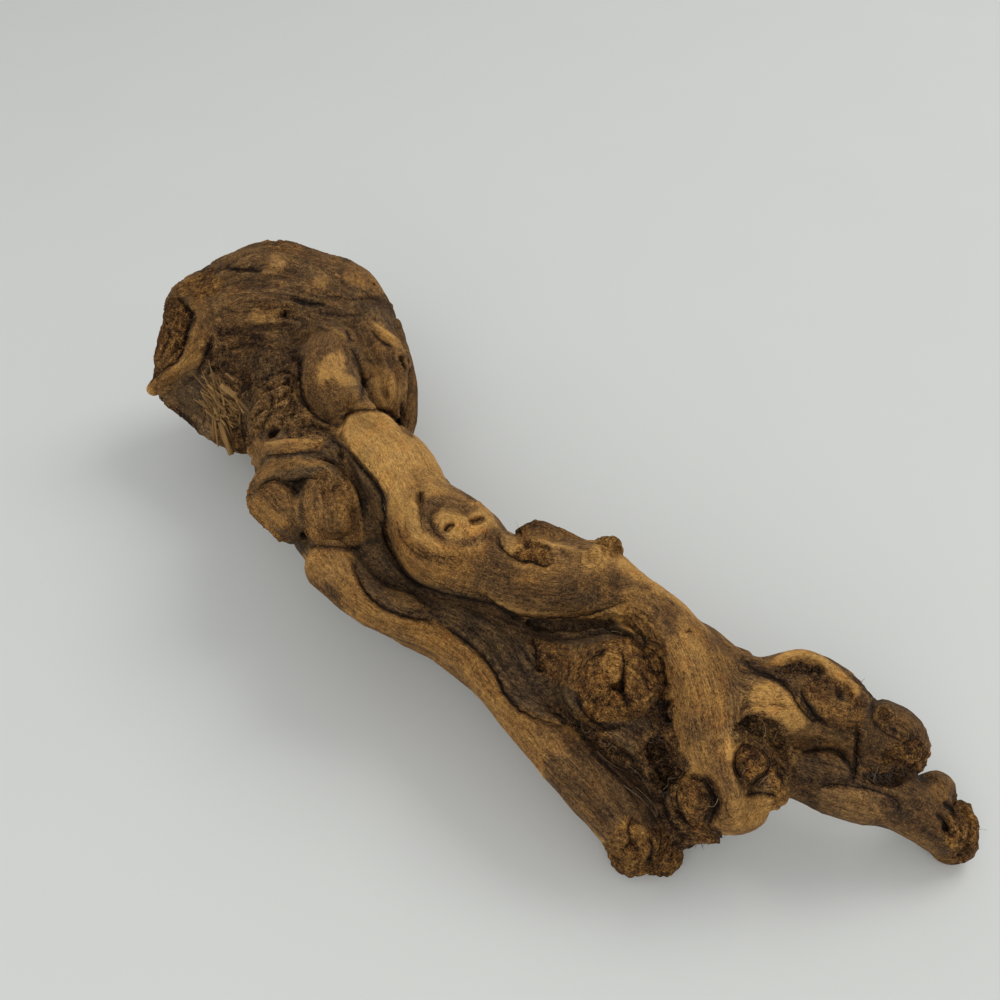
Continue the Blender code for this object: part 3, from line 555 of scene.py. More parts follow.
REGIONS = (
    # Head: broken end and its rolled lip, the sheared face, the rims and the grey top
    Region(Skin.OCHRE, "176,296 178,287 188,279 200,271 216,266 217,275 223,284 214,294 203,299 196,303 "
        "188,297"),
    Region(Skin.BROKEN, "174,296 186,303 193,316 190,332 184,352 170,370 152,383 145,374 153,358 161,348 "
        "163,338 157,330 160,313 168,301"),
    Region(Skin.TAN, "190,299 203,300 208,312 205,330 199,348 191,362 175,379 161,396 148,390 155,381 "
        "172,366 184,352 190,332 194,316", 0.6),
    Region(Skin.OCHRE, "158,350 184,344 178,360 164,370 152,378 150,366", 0.7),
    Region(Skin.BROWN, "196,320 206,318 204,334 197,350 186,362 182,356 190,342", 0.8, 3.0),
    Region(Skin.SLATE, "161,397 175,381 198,372 207,385 205,400 213,421 198,421 178,409", 0.85),
    Region(Skin.ASH, "198,421 216,420 214,436 203,438", 0.8),
    Region(Skin.UMBER, "205,300 232,296 262,322 275,340 262,352 228,345 208,330", 0.6),
    Region(Skin.BROWN, "250,252 262,240 276,234 290,236 303,249 330,254 348,262 338,271 320,260 300,256 "
        "280,254 262,258", 0.9),
    Region(Skin.STRIPPED, "269,257 276,254 284,259 287,267 282,273 274,273 263,269 266,263", 0.25, 3.0),
    Region(Skin.TAN, "344,268 352,261 364,262 378,275 388,291 380,297 367,288 355,287 345,282"),
    Region(Skin.SLATE, "298,297 345,303 386,300 396,312 402,336 386,328 360,318 330,326 300,331 288,323 "
        "294,309", 0.45),
    Region(Skin.FIBROUS, "276,309 286,303 296,308 294,317 284,323 277,321", 0.9),
    Region(Skin.FIBROUS, "206,333 232,326 258,334 288,346 300,356 302,386 290,394 262,394 250,404 236,400 "
        "222,386 210,371 201,354", 0.72),
    Region(Skin.UMBER, "228,338 262,340 286,350 270,356 240,352", 0.7),
    Region(Skin.TWISTED, "262,383 278,372 293,385 297,410 292,429 270,431 250,434 247,421 256,402"),
    Region(Skin.TWISTED, "296,396 306,408 318,420 336,426 342,438 322,440 300,438 282,436 292,428", 0.8),
    # Lobe and cheek
    Region(Skin.BROWN, "301,392 305,369 315,351 334,346 347,360 351,380 354,396 350,408 342,422 330,427 "
        "316,421 305,407", 0.95),
    Region(Skin.STRIPPED, "317,367 329,355 340,350 346,358 344,372 353,380 352,387 341,385 330,377 323,387 "
        "318,383", 0.85, 3.0),
    Region(Skin.TAN, "350,398 362,403 375,414 367,417 355,417 344,421 342,414 350,406", 0.9),
    Region(Skin.BROWN, "300,344 312,329 327,326 342,333 352,347 336,341 320,339 306,350", 0.9),
    Region(Skin.ASH, "350,346 362,360 368,378 378,402 364,398 354,388 347,370", 0.35),
    Region(Skin.TAN, "361,363 373,363 384,370 391,379 381,385 374,381 367,374", 0.8),
    Region(Skin.TAN, "376,386 384,381 393,379 401,385 403,398 399,416 388,406 380,402", 0.6),
    Region(Skin.STRIPPED, "370,320 381,321 393,335 402,344 411,353 396,347 383,338", 0.6),
    Region(Skin.BROWN, "404,374 414,380 420,400 418,420 412,440 403,434 404,420 406,400", 0.9),
    # Neck
    Region(Skin.SLATE, "258,452 330,444 352,470 366,490 372,520 372,548 362,560 300,560 250,500", 0.9),
    Region(Skin.TAN, "247,450 254,439 262,445 280,443 300,440 322,442 323,449 300,452 275,455 263,460 "
        "258,472 249,462", 0.9),
    Region(Skin.TAN, "252,482 257,466 275,458 297,457 322,460 336,465 318,467 297,466 276,469 263,479 "
        "256,494", 0.85),
    Region(Skin.ASH, "256,494 262,481 276,471 300,468 313,470 300,481 290,492 280,482 268,485", 0.4),
    Region(Skin.BROWN, "248,500 261,486 275,480 290,486 299,500 300,522 290,532 272,526 256,512"),
    Region(Skin.TAN, "247,498 258,497 271,511 287,523 284,531 266,524 250,510", 0.8),
    Region(Skin.TAN, "337,465 347,472 354,485 358,502 361,520 364,542 361,543 358,521 355,503 351,488 "
        "344,475 335,468", 1.0, 1.2),
    Region(Skin.OCHRE, NECK_SCAR, 0.9),
    Region(Skin.DUN, NECK_SCAR, 0.55, 3.0),
    Region(Skin.BROKEN, "316,484 328,480 338,485 332,492 320,494", 0.5),
    Region(Skin.BROWN, "351,500 357,503 363,520 365,543 355,548 354,525", 0.8),
    Region(Skin.FIBROUS, "300,530 309,530 312,541 303,544", 0.9),
    # Core
    Region(Skin.SLATE, "344,446 350,451 362,464 377,482 386,494 388,520 393,549 405,569 430,584 470,592 "
        "500,606 528,620 612,620 645,640 650,650 612,650 560,660 576,682 584,705 570,726 545,719 524,711 "
        "505,697 493,671 477,652 456,635 438,622 405,617 380,607 365,593 354,560 366,545 364,500 352,475"),
    Region(Skin.DUN, "383,586 400,590 424,602 421,610 400,609 387,600", 0.7),
    Region(Skin.ASH, "506,630 530,648 524,664 508,648", 0.2, 4.0),
    Region(Skin.BROWN, "372,488 379,492 380,512 384,535 379,538 372,515", 0.6),
    Region(Skin.BROWN, "344,444 356,456 372,472 388,488 390,500 380,486 362,468", 0.5, 2.5),
    Region(Skin.OCHRE, "529,638 550,641 575,649 600,641 612,638 604,660 592,674 580,690 560,685 546,676 "
        "538,662 531,652", 0.8),
    Region(Skin.BROKEN, "534,660 542,659 548,668 542,676 535,670", 0.8),
    Region(Skin.TWISTED, "548,702 570,704 582,714 574,728 556,722 545,714", 0.6),
    Region(Skin.OCHRE, "602,652 611,640 625,634 637,641 649,650 646,668 651,690 646,707 630,721 610,722 "
        "591,714 578,700 575,685 589,672"),
    Region(Skin.BROKEN, "640,645 655,649 664,664 670,690 662,699 652,696 648,675", 0.85),
    Region(Skin.SLATE, "602,724 628,722 646,716 652,736 640,752 614,744", 0.95),
    Region(Skin.FIBROUS, "634,730 654,734 672,760 674,792 656,790 640,764", 1.0, 3.0),
    # Painted shade in the cavity between the lower limb and the burl.
    Region(Skin.PEAT, "630,733 642,729 650,738 648,750 638,748", 0.7, 2.0),
    Region(Skin.FIBROUS, "650,698 674,700 682,740 692,768 680,792 664,786 652,745"),
    Region(Skin.FIBROUS, "568,722 600,726 626,752 664,786 672,800 650,788 612,762 584,740", 0.95),
    # Lower limb
    Region(Skin.TAN, "298,562 308,548 330,545 352,550 353,560 358,578 367,594 382,608 406,618 438,623 "
        "456,636 477,653 493,671 505,697 525,715 548,724 568,729 590,746 620,766 650,787 676,802 684,820 "
        "668,834 640,826 600,810 540,770 480,710 430,660 380,640 320,600"),
    Region(Skin.STRIPPED, "300,560 314,549 335,549 351,560 354,580 340,580 318,584", 0.35, 5.0),
    Region(Skin.HONEY, "405,618 438,624 458,640 478,656 492,676 503,699 524,718 548,727 530,735 505,716 "
        "482,688 455,660 425,642 400,632", 0.85, 4.0),
    Region(Skin.STRIPPED, "478,684 500,702 520,728 548,744 575,758 590,775 560,775 520,745 478,702", 0.35,
        5.0),
    # Darker along the lower limb's lower side towards the heel: partly the wood's dark brown, partly painted
    # shade on the underside.
    Region(Skin.PEAT, "560,730 592,746 630,770 664,796 682,822 660,834 636,826 604,806 588,782 568,756",
        0.85, 6.0),
    Region(Skin.UMBER, "304,578 320,582 332,590 344,610 340,620 324,606 306,590", 0.7, 3.0),
    # More of that dark brown and painted shade under the limb near the heel.
    Region(Skin.UMBER, "546,750 572,756 600,772 616,798 634,826 612,846 574,818 546,786", 0.95, 5.0),
    Region(Skin.PEAT, "574,776 590,778 606,798 616,818 604,824 586,806", 0.8, 4.0),
    Region(Skin.OCHRE, "600,850 612,832 628,814 642,826 638,845 642,862 636,880 612,874", 0.9),
    Region(Skin.BROKEN, "640,834 655,826 682,838 684,858 660,882 642,880 643,856", 0.9),
    Region(Skin.FIBROUS, "656,816 682,808 692,832 722,826 722,846 690,850 672,840"),
    # Upper limb
    Region(Skin.STRIPPED, "336,440 342,424 352,413 369,409 388,416 402,430 418,442 436,462 446,478 449,497 "
        "436,494 425,500 418,510 424,526 432,539 450,546 466,545 472,560 462,577 445,583 425,579 405,566 "
        "393,546 389,520 387,495 379,483 366,467 354,454 344,444"),
    # The dark gap before its start, its dark edge and the knots on it
    Region(Skin.SLATE, "324,438 335,434 339,441 346,450 350,458 336,456 325,452", 0.95, 1.5),
    Region(Skin.BROWN, "338,436 342,428 346,440 356,454 372,472 384,488 388,500 380,490 364,470 "
        "346,450", 0.7, 2.5),
    Region(Skin.BROWN, "384,505 391,506 394,530 402,550 420,570 446,582 470,585 468,592 440,590 416,580 "
        "398,562 388,540", 0.75, 2.5),
    # Painted shade along the shaded edge under the upper limb.
    Region(Skin.PEAT, "424,590 450,596 475,602 500,610 498,618 470,611 445,605 426,598", 0.7, 2.0),
    Region(Skin.TAN, "424,462 446,474 452,498 434,500 418,512 410,496 416,474", 0.5, 8.0),
    Region(Skin.HONEY, "392,520 412,542 440,551 470,549 496,560 482,580 455,587 425,582 404,569 391,549 "
        "386,530", 0.85, 7.0),
    Region(Skin.UMBER, "424,499 440,495 448,496 462,499 478,508 467,517 459,512 449,511 440,514 432,521 "
        "440,532 452,538 466,538 480,533 497,527 501,536 482,544 460,547 440,543 426,531 420,515", 0.85,
        4.0),
    Region(Skin.STRIPPED, "430,518 441,512 453,513 463,522 462,532 452,537 439,532 441,524", 0.9, 1.5),
    Region(Skin.STRIPPED, "464,503 477,500 491,502 497,511 494,521 478,529 466,528 462,521 476,520 "
        "489,514 480,507", 0.5, 1.5),
    Region(Skin.BROWN, "446,478 470,490 494,498 512,516 524,534 516,548 498,538 496,512 488,504 470,500 "
        "450,497", 0.5, 4.0),
    Region(Skin.UMBER, "455,484 474,492 496,502 512,520 504,530 492,506 470,502", 0.8, 3.0),
    Region(Skin.UMBER, "492,532 505,550 520,562 545,568 560,566 575,572 600,570 612,562 622,570 650,588 "
        "652,602 626,603 604,611 560,617 520,613 494,600 462,588 480,562", 0.95, 9.0),
    Region(Skin.BROWN, "500,566 540,574 590,578 600,586 560,590 520,588 498,580", 0.6, 5.0),
    Region(Skin.TAN, "517,580 526,573 537,577 534,583 522,585", 0.75),
    Region(Skin.TAN, "530,601 540,595 548,599 541,605", 0.6),
    # Lighter places on the cheek, on the head's lower side and on its broken end
    Region(Skin.TAN, "366,387 378,385 388,397 380,405 366,400", 0.6, 4.0),
    Region(Skin.TAN, "404,392 418,392 418,410 405,410", 0.5, 4.0),
    Region(Skin.TAN, "372,336 392,338 400,350 384,356 374,350", 0.6, 4.0),
    Region(Skin.OCHRE, "214,428 230,426 238,440 232,456 216,450", 0.6, 4.0),
    Region(Skin.TAN, "158,352 170,350 173,366 160,374 152,364", 0.6, 3.0),
    # Spots, the torn hollow and the horn on the upper limb
    Region(Skin.TAN, "601,574 608,573 612,590 609,601 602,600", 0.7),
    Region(Skin.SLATE, "571,598 580,592 596,591 602,598 590,603 576,603", 0.85),
    Region(Skin.BROKEN, "512,556 520,546 532,539 548,544 557,557 547,567 530,563"),
    Region(Skin.BROWN, "546,556 560,549 580,552 592,560 580,574 558,574", 0.8, 4.0),
    Region(Skin.BROWN, "516,530 526,520 541,516 555,521 562,531 577,539 590,543 604,545 586,551 570,546 "
        "554,541 540,537 524,541", 0.9),
    Region(Skin.OCHRE, "517,530 524,521 536,518 540,526 530,531 524,538", 0.9),
    Region(Skin.OCHRE, "597,541 609,533 622,541 624,554 612,558 603,553"),
    Region(Skin.TAN, "578,556 587,549 599,551 604,560 597,567 585,566", 0.85),
    # Front limb
    Region(Skin.TAN, "626,586 650,588 682,604 702,628 722,645 737,665 732,690 724,720 722,748 736,768 "
        "747,792 772,798 766,824 740,836 716,828 712,790 700,771 680,752 673,722 672,690 668,660 652,645 "
        "640,626 618,605"),
    Region(Skin.STRIPPED, "676,608 692,622 704,650 714,690 706,716 690,704 680,664 674,632", 0.35, 6.0),
    Region(Skin.BROKEN, "617,607 638,608 656,620 668,650 656,648 640,636 624,622", 0.6),
    Region(Skin.BROWN, "648,608 672,610 681,630 668,642 656,628", 0.7, 5.0),
    Region(Skin.WEATHERED, "684,716 698,711 708,722 704,740 688,744 683,730", 0.8, 2.5),
    Region(Skin.BROWN, "684,700 720,704 728,740 720,752 704,742 700,720", 0.5, 6.0),
    Region(Skin.BROWN, "700,628 722,636 742,652 732,680 726,664 712,650", 0.75, 4.0),
    Region(Skin.WEATHERED, "730,662 744,654 752,668 750,716 738,732 722,738 726,700", 0.95, 4.0),
    Region(Skin.STRIPPED, "722,796 744,796 772,800 768,820 742,832 726,822", 0.35),
    Region(Skin.OCHRE, "674,788 684,775 695,773 701,790 707,810 704,828 690,828 680,812"),
    Region(Skin.FIBROUS, "697,774 711,782 719,804 711,828 704,823 708,805 702,788", 0.9),
    Region(Skin.OCHRE, "734,757 744,745 759,747 770,758 769,770 758,779 750,785 740,777", 0.95),
    Region(Skin.WEATHERED, "747,787 757,778 770,775 777,786 766,793 750,796", 0.95),
    Region(Skin.OCHRE, "769,771 779,776 784,790 777,798 774,786", 0.95),
    # Pocket, orange patch, rim and scar of the back
    Region(Skin.TWISTED, "730,729 739,717 758,714 776,723 791,739 802,748 798,762 793,777 785,790 780,778 "
        "775,765 769,755 760,745 745,742 732,746"),
    Region(Skin.FIBROUS, "732,728 740,719 757,717 768,724 760,734 744,736", 0.8),
    Region(Skin.OCHRE, "765,742 776,737 783,744 781,757 772,753", 0.75),
    Region(Skin.WEATHERED, "741,654 765,667 792,674 808,698 812,726 798,700 780,684 760,680 752,688 "
        "747,670", 0.95),
    Region(Skin.STRIPPED, "749,690 760,681 781,685 796,696 804,715 808,735 798,739 785,726 770,716 752,712 "
        "747,701", 0.8, 2.6),
    Region(Skin.FIBROUS, "774,670 788,661 810,660 823,668 819,676 800,673 782,675"),
    Region(Skin.STRIPPED, "768,664 785,654 805,650 823,657 842,671 860,688 871,699 856,696 836,679 820,667 "
        "800,660 782,664", 0.75),
    Region(Skin.OCHRE, "804,690 812,679 830,677 846,684 856,695 861,712 863,727 850,730 832,723 820,711 "
        "810,701", 0.95),
    Region(Skin.SLATE, "797,696 806,699 816,712 830,727 818,727 806,714", 0.75),
    Region(Skin.TAN, "812,686 832,682 848,702 858,720 842,726 822,712", 0.35, 5.0),
    Region(Skin.DUN, "794,730 806,728 812,740 800,748", 0.6, 3.0),
    Region(Skin.SLATE, "835,689 842,688 848,695 844,700 836,698", 0.8),
    Region(Skin.WEATHERED, "798,732 812,722 835,727 853,730 846,743 830,750 814,748 800,741", 0.8),
    Region(Skin.TAN, "790,732 804,728 812,740 806,750 790,748", 0.4, 3.0),
    Region(Skin.TAN, "770,750 786,748 794,762 782,772 772,766", 0.35, 3.0),
    # The front limb's foot, and the grey of the back
    Region(Skin.TAN, "690,832 706,830 712,844 696,852", 0.45, 3.0),
    Region(Skin.SLATE, "796,762 815,752 835,752 849,762 854,780 840,784 820,782 800,782", 0.55),
    Region(Skin.WEATHERED, "862,690 880,698 872,706 860,702", 0.9),
    # Wrist, tail and cut end
    Region(Skin.UMBER, "866,700 880,696 906,703 924,728 932,756 924,772 905,769 895,766 880,763 864,761 "
        "862,740 864,715", 0.95),
    Region(Skin.OCHRE, "875,707 892,706 895,722 884,726 875,719", 0.7),
    Region(Skin.TAN, "890,716 904,714 916,732 900,738", 0.5),
    Region(Skin.BROKEN, "898,741 918,737 932,757 922,773 905,769 895,762 877,763 884,752"),
    Region(Skin.SLATE, "865,720 878,724 886,744 872,754 862,748", 0.7),
    Region(Skin.FIBROUS, "854,770 868,767 880,771 898,765 917,768 907,786 885,792 865,788 851,777"),
    Region(Skin.DUN, "812,790 835,785 860,789 880,794 894,801 897,809 880,818 858,824 836,820 818,806",
        0.95, 1.2),
    Region(Skin.BROKEN, "828,784 846,782 846,788 830,789", 0.7),
    Region(Skin.PEAT, "880,800 900,774 926,772 941,790 947,806 957,815 950,836 944,854 926,846 902,832 "
        "886,820", 0.9, 2.5),
    Region(Skin.PEAT, "792,776 812,778 836,776 862,780 886,790 898,800 884,794 860,786 834,783 812,788 "
        "820,808 804,804", 0.8, 2.0),
    Region(Skin.TAN, "878,820 900,826 922,836 944,856 962,858 950,868 922,856 896,834", 0.6),
    Region(Skin.BROWN, "924,774 939,777 949,790 949,802 939,800 929,790", 0.9),
    Region(Skin.BROKEN, "947,816 955,804 971,810 980,826 976,848 962,862 950,852 944,836"),
)

PATCHES = (
    Patch((282, 244), (18, 6), 8, Skin.OCHRE, 0.6),
    Patch((321, 281), (9, 7), 0, Skin.TAN, 0.7),
    Patch((265, 311), (12, 8), 20, Skin.OCHRE, 0.5),
    Patch((257, 317), (8, 7), 0, Skin.HONEY, 0.7),
    Patch((219, 320), (2.5, 2.5), 0, Skin.STRIPPED, 0.6),
    Patch((245, 388), (14, 9), -20, Skin.FIBROUS),
    Patch((353, 381), (5, 5), 0, Skin.STRIPPED, 0.8),
    Patch((258, 446), (7, 6), 0, Skin.TAN, 0.8),
    Patch((690, 631), (4, 3), 0, Skin.BROKEN, 0.8),
)


ROOTLETS = (
    "622,786 636,796 648,808 656,816",
    "634,788 646,798 655,806 658,814",
    "626,764 638,772 646,784 650,796",
    "596,752 606,762 618,770 628,774",
    "446,583 452,576 450,568",
    "452,585 460,578 459,570",
    "228,352 236,360 243,369",
    "238,356 250,362 262,358",
    "500,640 512,650 520,664",
)


@dataclass(frozen=True)
class Brush:
    """A row of short fibres along pixels.

    Args:
        pixels: Where their roots lie.
        lean: The way they point in the picture, right and down.
        length: Their greatest length in mm.
        count: How many there are.
        pale: The palest that they are.
    """

    pixels: str
    lean: tuple
    length: float
    count: int
    pale: float


BRUSHES = (
    Brush("862,771 884,774 908,770", (0.3, 1.0), 7.0, 90, 0.35),
    Brush("778,668 798,666 820,668", (0.8, -0.1), 5.0, 60, 0.55),
    Brush("738,728 758,722 774,732 786,752", (0.5, 0.7), 4.5, 70, 0.3),
    Brush("256,433 272,428 288,430", (0.3, 0.5), 4.5, 50, 0.3),
    Brush("264,366 284,356 300,352", (-0.3, 0.9), 6.0, 50, 0.4),
    Brush("238,384 250,396 258,412", (0.5, 0.8), 7.0, 70, 0.4),
    Brush("214,350 226,360 240,372", (0.2, 0.9), 6.0, 40, 0.4),
    Brush("654,706 660,736 662,770 668,792", (0.1, 1.0), 5.5, 80, 0.35),
    Brush("578,728 606,750 636,778", (0.7, 0.6), 5.0, 50, 0.4),
    Brush("672,836 694,842 716,834", (0.2, 1.0), 5.0, 40, 0.35),
    Brush("298,428 318,424 336,430", (0.2, 0.6), 4.0, 40, 0.4),
    Brush("186,412 200,424 214,434", (-0.4, 0.9), 4.0, 24, 0.4),
)


@dataclass(frozen=True)
class Sight:
    """The camera, which both films the wood and finds the places that pixels name.

    Args:
        pitch: How far it looks down, in degrees.
        azimuth: How far its right is turned from +X, in degrees.
        focal: Focal length in picture widths.
        eye: Its place in mm.
        frame: The picture's width in pixels.
        sensor: The width of the camera's sensor in mm.
        clip_start: The nearest distance that the camera shows, in metres.
    """

    pitch: float = 40.7
    azimuth: float = 40.0
    focal: float = 1.069
    eye: tuple = (284.2, -329.9, 450.0)
    frame: float = 1000.0
    sensor: float = 36.0
    clip_start: float = 0.01

    def axes(self) -> tuple:
        """The camera's right, up and forward as unit vectors."""
        pitch, azimuth = math.radians(self.pitch), math.radians(self.azimuth)
        right = Vector((math.cos(azimuth), math.sin(azimuth), 0.0))
        level = Vector((-math.sin(azimuth), math.cos(azimuth), 0.0))
        up = level * math.sin(pitch) + Vector((0, 0, math.cos(pitch)))
        forward = level * math.cos(pitch) - Vector((0, 0, math.sin(pitch)))
        return right, up, forward

    def ray(self, pixel: tuple) -> Vector:
        """The unit direction from the eye through a pixel."""
        right, up, forward = self.axes()
        across = (pixel[0] / self.frame - 0.5) / self.focal
        down = (pixel[1] / self.frame - 0.5) / self.focal
        return (forward + right * across - up * down).normalized()

    def hit(self, surface: BVHTree, pixel: tuple) -> tuple | None:
        """The place and normal on a surface that a pixel shows, or None beside it."""
        place, normal, _, _ = surface.ray_cast(Vector(self.eye), self.ray(pixel))
        return (np.array(place), np.array(normal)) if place else None

    def seen(self, surface: BVHTree, points: np.ndarray) -> tuple:
        """Where the picture shows points, and how far behind the surface in view each lies.

        Args:
            surface: The surface that may hide them.
            points: The points in mm.

        Returns:
            An array of pixels, the distances in mm, and how many mm a pixel stands for.
        """
        right, up, forward = (np.array(axis) for axis in self.axes())
        offset = points - np.array(self.eye)
        depth = offset @ forward
        scale = self.focal * self.frame
        pixels = np.column_stack([self.frame / 2 + scale * (offset @ right) / depth,
                                  self.frame / 2 - scale * (offset @ up) / depth])
        reach = np.linalg.norm(offset, axis=1)
        eye = Vector(self.eye)
        behind = np.zeros(len(points))
        for index, aim in enumerate(offset / reach[:, None]):
            distance = surface.ray_cast(eye, Vector(aim))[3]
            behind[index] = 0.0 if distance is None else reach[index] - distance
        return pixels, behind, depth / scale

    def trace(self, surface: BVHTree, pixels: str, spacing: float = 4.0) -> tuple:
        """The places and normals along a line of pixels.

        Args:
            surface: The surface that the line lies on.
            pixels: The line's pixels.
            spacing: Pixels between two places.

        Returns:
            Two arrays, places and normals, without the places beside the surface.
        """
        line = smooth_path(spots(pixels), 6)
        along = lengths_along(line)
        marks = np.linspace(0, along[-1], max(3, int(along[-1] / spacing) + 1))
        found = [self.hit(surface, (np.interp(mark, along, line[:, 0]), np.interp(mark, along, line[:, 1])))
                 for mark in marks]
        found = [pair for pair in found if pair is not None]
        return np.array([pair[0] for pair in found]), np.array([pair[1] for pair in found])

    def place_camera(self) -> None:
        """Add the camera to the scene and make it the scene's own."""
        lens = bpy.data.cameras.new("camera")
        lens.sensor_width = self.sensor
        lens.lens = self.sensor * self.focal
        lens.clip_start = self.clip_start
        camera = placed("camera", lens)
        camera.location = Vector(self.eye) * MM
        camera.rotation_euler = (math.pi / 2 - math.radians(self.pitch), 0.0, math.radians(self.azimuth))
        bpy.context.scene.camera = camera


class Field:
    """A signed distance on a grid: negative in the wood, positive outside."""

    # What empty space holds, in mm
    FAR = 30.0

    def __init__(self, low: tuple, high: tuple, step: float) -> None:
        """Make an empty grid.

        Args:
            low: The grid's low corner in mm.
            high: The grid's high corner in mm.
            step: The grid's spacing in mm.
        """
        self.low = np.array(low, float)
        self.step = step
        self.count = np.ceil((np.array(high) - self.low) / step).astype(int) + 1
        self.values = np.full(self.count, self.FAR, np.float32)
        self.ticks = [(self.low[i] + step * np.arange(self.count[i])).astype(np.float32) for i in range(3)]

    def window(self, low: np.ndarray, high: np.ndarray) -> tuple:
        """The slices of the grid that hold a box."""
        first = np.clip(np.floor((low - self.low) / self.step).astype(int), 0, self.count - 1)
        last = np.clip(np.ceil((high - self.low) / self.step).astype(int) + 1, 1, self.count)
        return tuple(slice(int(a), int(b)) for a, b in zip(first, last))

    def distance(self, path: np.ndarray, margin: float) -> tuple:
        """How far the grid's points lie from a tapered path's skin.

        Args:
            path: Points (x, y, z, radius).
            margin: How far beyond the skin the distance is needed.

        Returns:
            The slices that the path reaches, and the distances in them.
        """
        reach = path[:, 3].max() + margin
        whole = self.window(path[:, :3].min(0) - reach, path[:, :3].max(0) + reach)
        far = np.full([part.stop - part.start for part in whole], self.FAR, np.float32)
        for a, b in zip(path[:-1].astype(np.float32), path[1:].astype(np.float32)):
            reach = max(a[3], b[3]) + margin
            part = self.window(np.minimum(a[:3], b[:3]) - reach, np.maximum(a[:3], b[:3]) + reach)
            x = self.ticks[0][part[0]][:, None, None] - a[0]
            y = self.ticks[1][part[1]][None, :, None] - a[1]
            z = self.ticks[2][part[2]][None, None, :] - a[2]
            run = b[:3] - a[:3]
            t = np.clip((x * run[0] + y * run[1] + z * run[2]) / (float(run @ run) + 1e-9), 0, 1)
            gap = np.sqrt((x - t * run[0])**2 + (y - t * run[1])**2 + (z - t * run[2])**2)
            gap -= a[3] + t * (b[3] - a[3])
            local = tuple(slice(p.start - w.start, p.stop - w.start) for p, w in zip(part, whole))
            np.minimum(far[local], gap, out=far[local])
        return whole, far

    def add(self, path: np.ndarray, blend: float) -> None:
        """Merge a path with the wood, flowing into it over the blend."""
        part, gap = self.distance(path, blend + 6.0)
        old = self.values[part]
        near = np.maximum(blend - np.abs(old - gap), 0) / blend
        self.values[part] = np.minimum(old, gap) - near * near * blend * 0.25

    def cut(self, path: np.ndarray, blend: float) -> None:
        """Take a path out of the wood, with an edge rounded over the blend."""
        part, gap = self.distance(path, blend + 3.0)
        old = self.values[part]
        near = np.maximum(blend - np.abs(old + gap), 0) / blend
        self.values[part] = np.maximum(old, -gap) + near * near * blend * 0.25

    def surface(self) -> tuple:
        """The wood's skin.

        Returns:
            Its points in mm and its faces, four corners each, facing out.
        """
        grid = openvdb.FloatGrid(self.FAR)
        grid.copyFromArray(self.values)
        points, quads = grid.convertToQuads(0.0)
        return points * self.step + self.low, quads

    def flatten_below(self, height: float) -> None:
        """Take away all wood that is lower than a height."""
        np.maximum(self.values, height - self.ticks[2][None, None, :], out=self.values)

    def sample(self, points: np.ndarray) -> np.ndarray:
        """The distance at any points, between the grid's own."""
        place = np.clip((points - self.low) / self.step, 0, self.count - 1.001)
        base = place.astype(int)
        part = place - base
        total = np.zeros(len(points))
        for corner in range(8):
            step = np.array([corner >> 2 & 1, corner >> 1 & 1, corner & 1])
            weight = np.prod(np.where(step, part, 1 - part), axis=1)
            i, j, k = (base + step).T
            total += weight * self.values[i, j, k]
        return total


class Noise:
    """Smooth seeded noise in three dimensions, from about -1 to 1."""

    def __init__(self, seed: int) -> None:
        """Draw the directions that the noise leans to."""
        draw = np.random.default_rng(seed)
        self.order = np.concatenate([draw.permutation(256)] * 3)
        self.lean = unit(draw.normal(size=(256, 3)))

    def at(self, points: np.ndarray) -> np.ndarray:
        """The noise at each point."""
        cell = np.floor(points).astype(int)
        part = points - cell
        ease = part**3 * (part * (part * 6 - 15) + 10)
        cell &= 255
        total = np.zeros(len(points))
        for corner in range(8):
            step = np.array([corner >> 2 & 1, corner >> 1 & 1, corner & 1])
            x, y, z = ((cell + step) & 255).T
            lean = self.lean[self.order[self.order[self.order[x] + y] + z]]
            weight = np.prod(np.where(step, ease, 1 - ease), axis=1)
            total += weight * np.einsum("ij,ij->i", lean, part - step)
        return total * 1.6

    def layered(self, points: np.ndarray, layers: int = 3) -> np.ndarray:
        """The noise with finer layers on it, each half as strong."""
        return sum(self.at(points * 2.03**layer + 17.3 * layer) * 0.5**layer for layer in range(layers))

    def ridged(self, points: np.ndarray, layers: int = 3) -> np.ndarray:
        """Sharp crests from 0 to about 1."""
        crests = [(1 - np.abs(self.at(points * 2.1**layer + 9.1 * layer)))**2 * 0.5**layer
                  for layer in range(layers)]
        return sum(crests) / (2 - 0.5**(layers - 1))


@dataclass
class Survey:
    """What is known at each point of the skin.

    Args:
        grain: A coordinate in mm that follows the strands.
        pale: How pale the wood is.
        warm: How warm its colour is.
        rough: How rough it is.
        lead: The distance from the limbs whose edge leads the core's lines, in mm.
        dirt_and_shade: How much dirt and painted shade lie there.
        shift: How far the point moves along its normal, in mm.
        pixels: Where the camera sees it.
        in_view: 1 where the camera sees it, 0 where it is hidden.
        pixel_size: How many mm a pixel stands for there.
        split: The distance across the nearest crack, in crack widths, with a sign for the side.
        open: How strong that crack is.
    """

    grain: np.ndarray
    pale: np.ndarray
    warm: np.ndarray
    rough: np.ndarray
    lead: np.ndarray
    dirt_and_shade: np.ndarray
    shift: np.ndarray
    pixels: np.ndarray
    in_view: np.ndarray
    pixel_size: np.ndarray
    split: np.ndarray
    open: np.ndarray


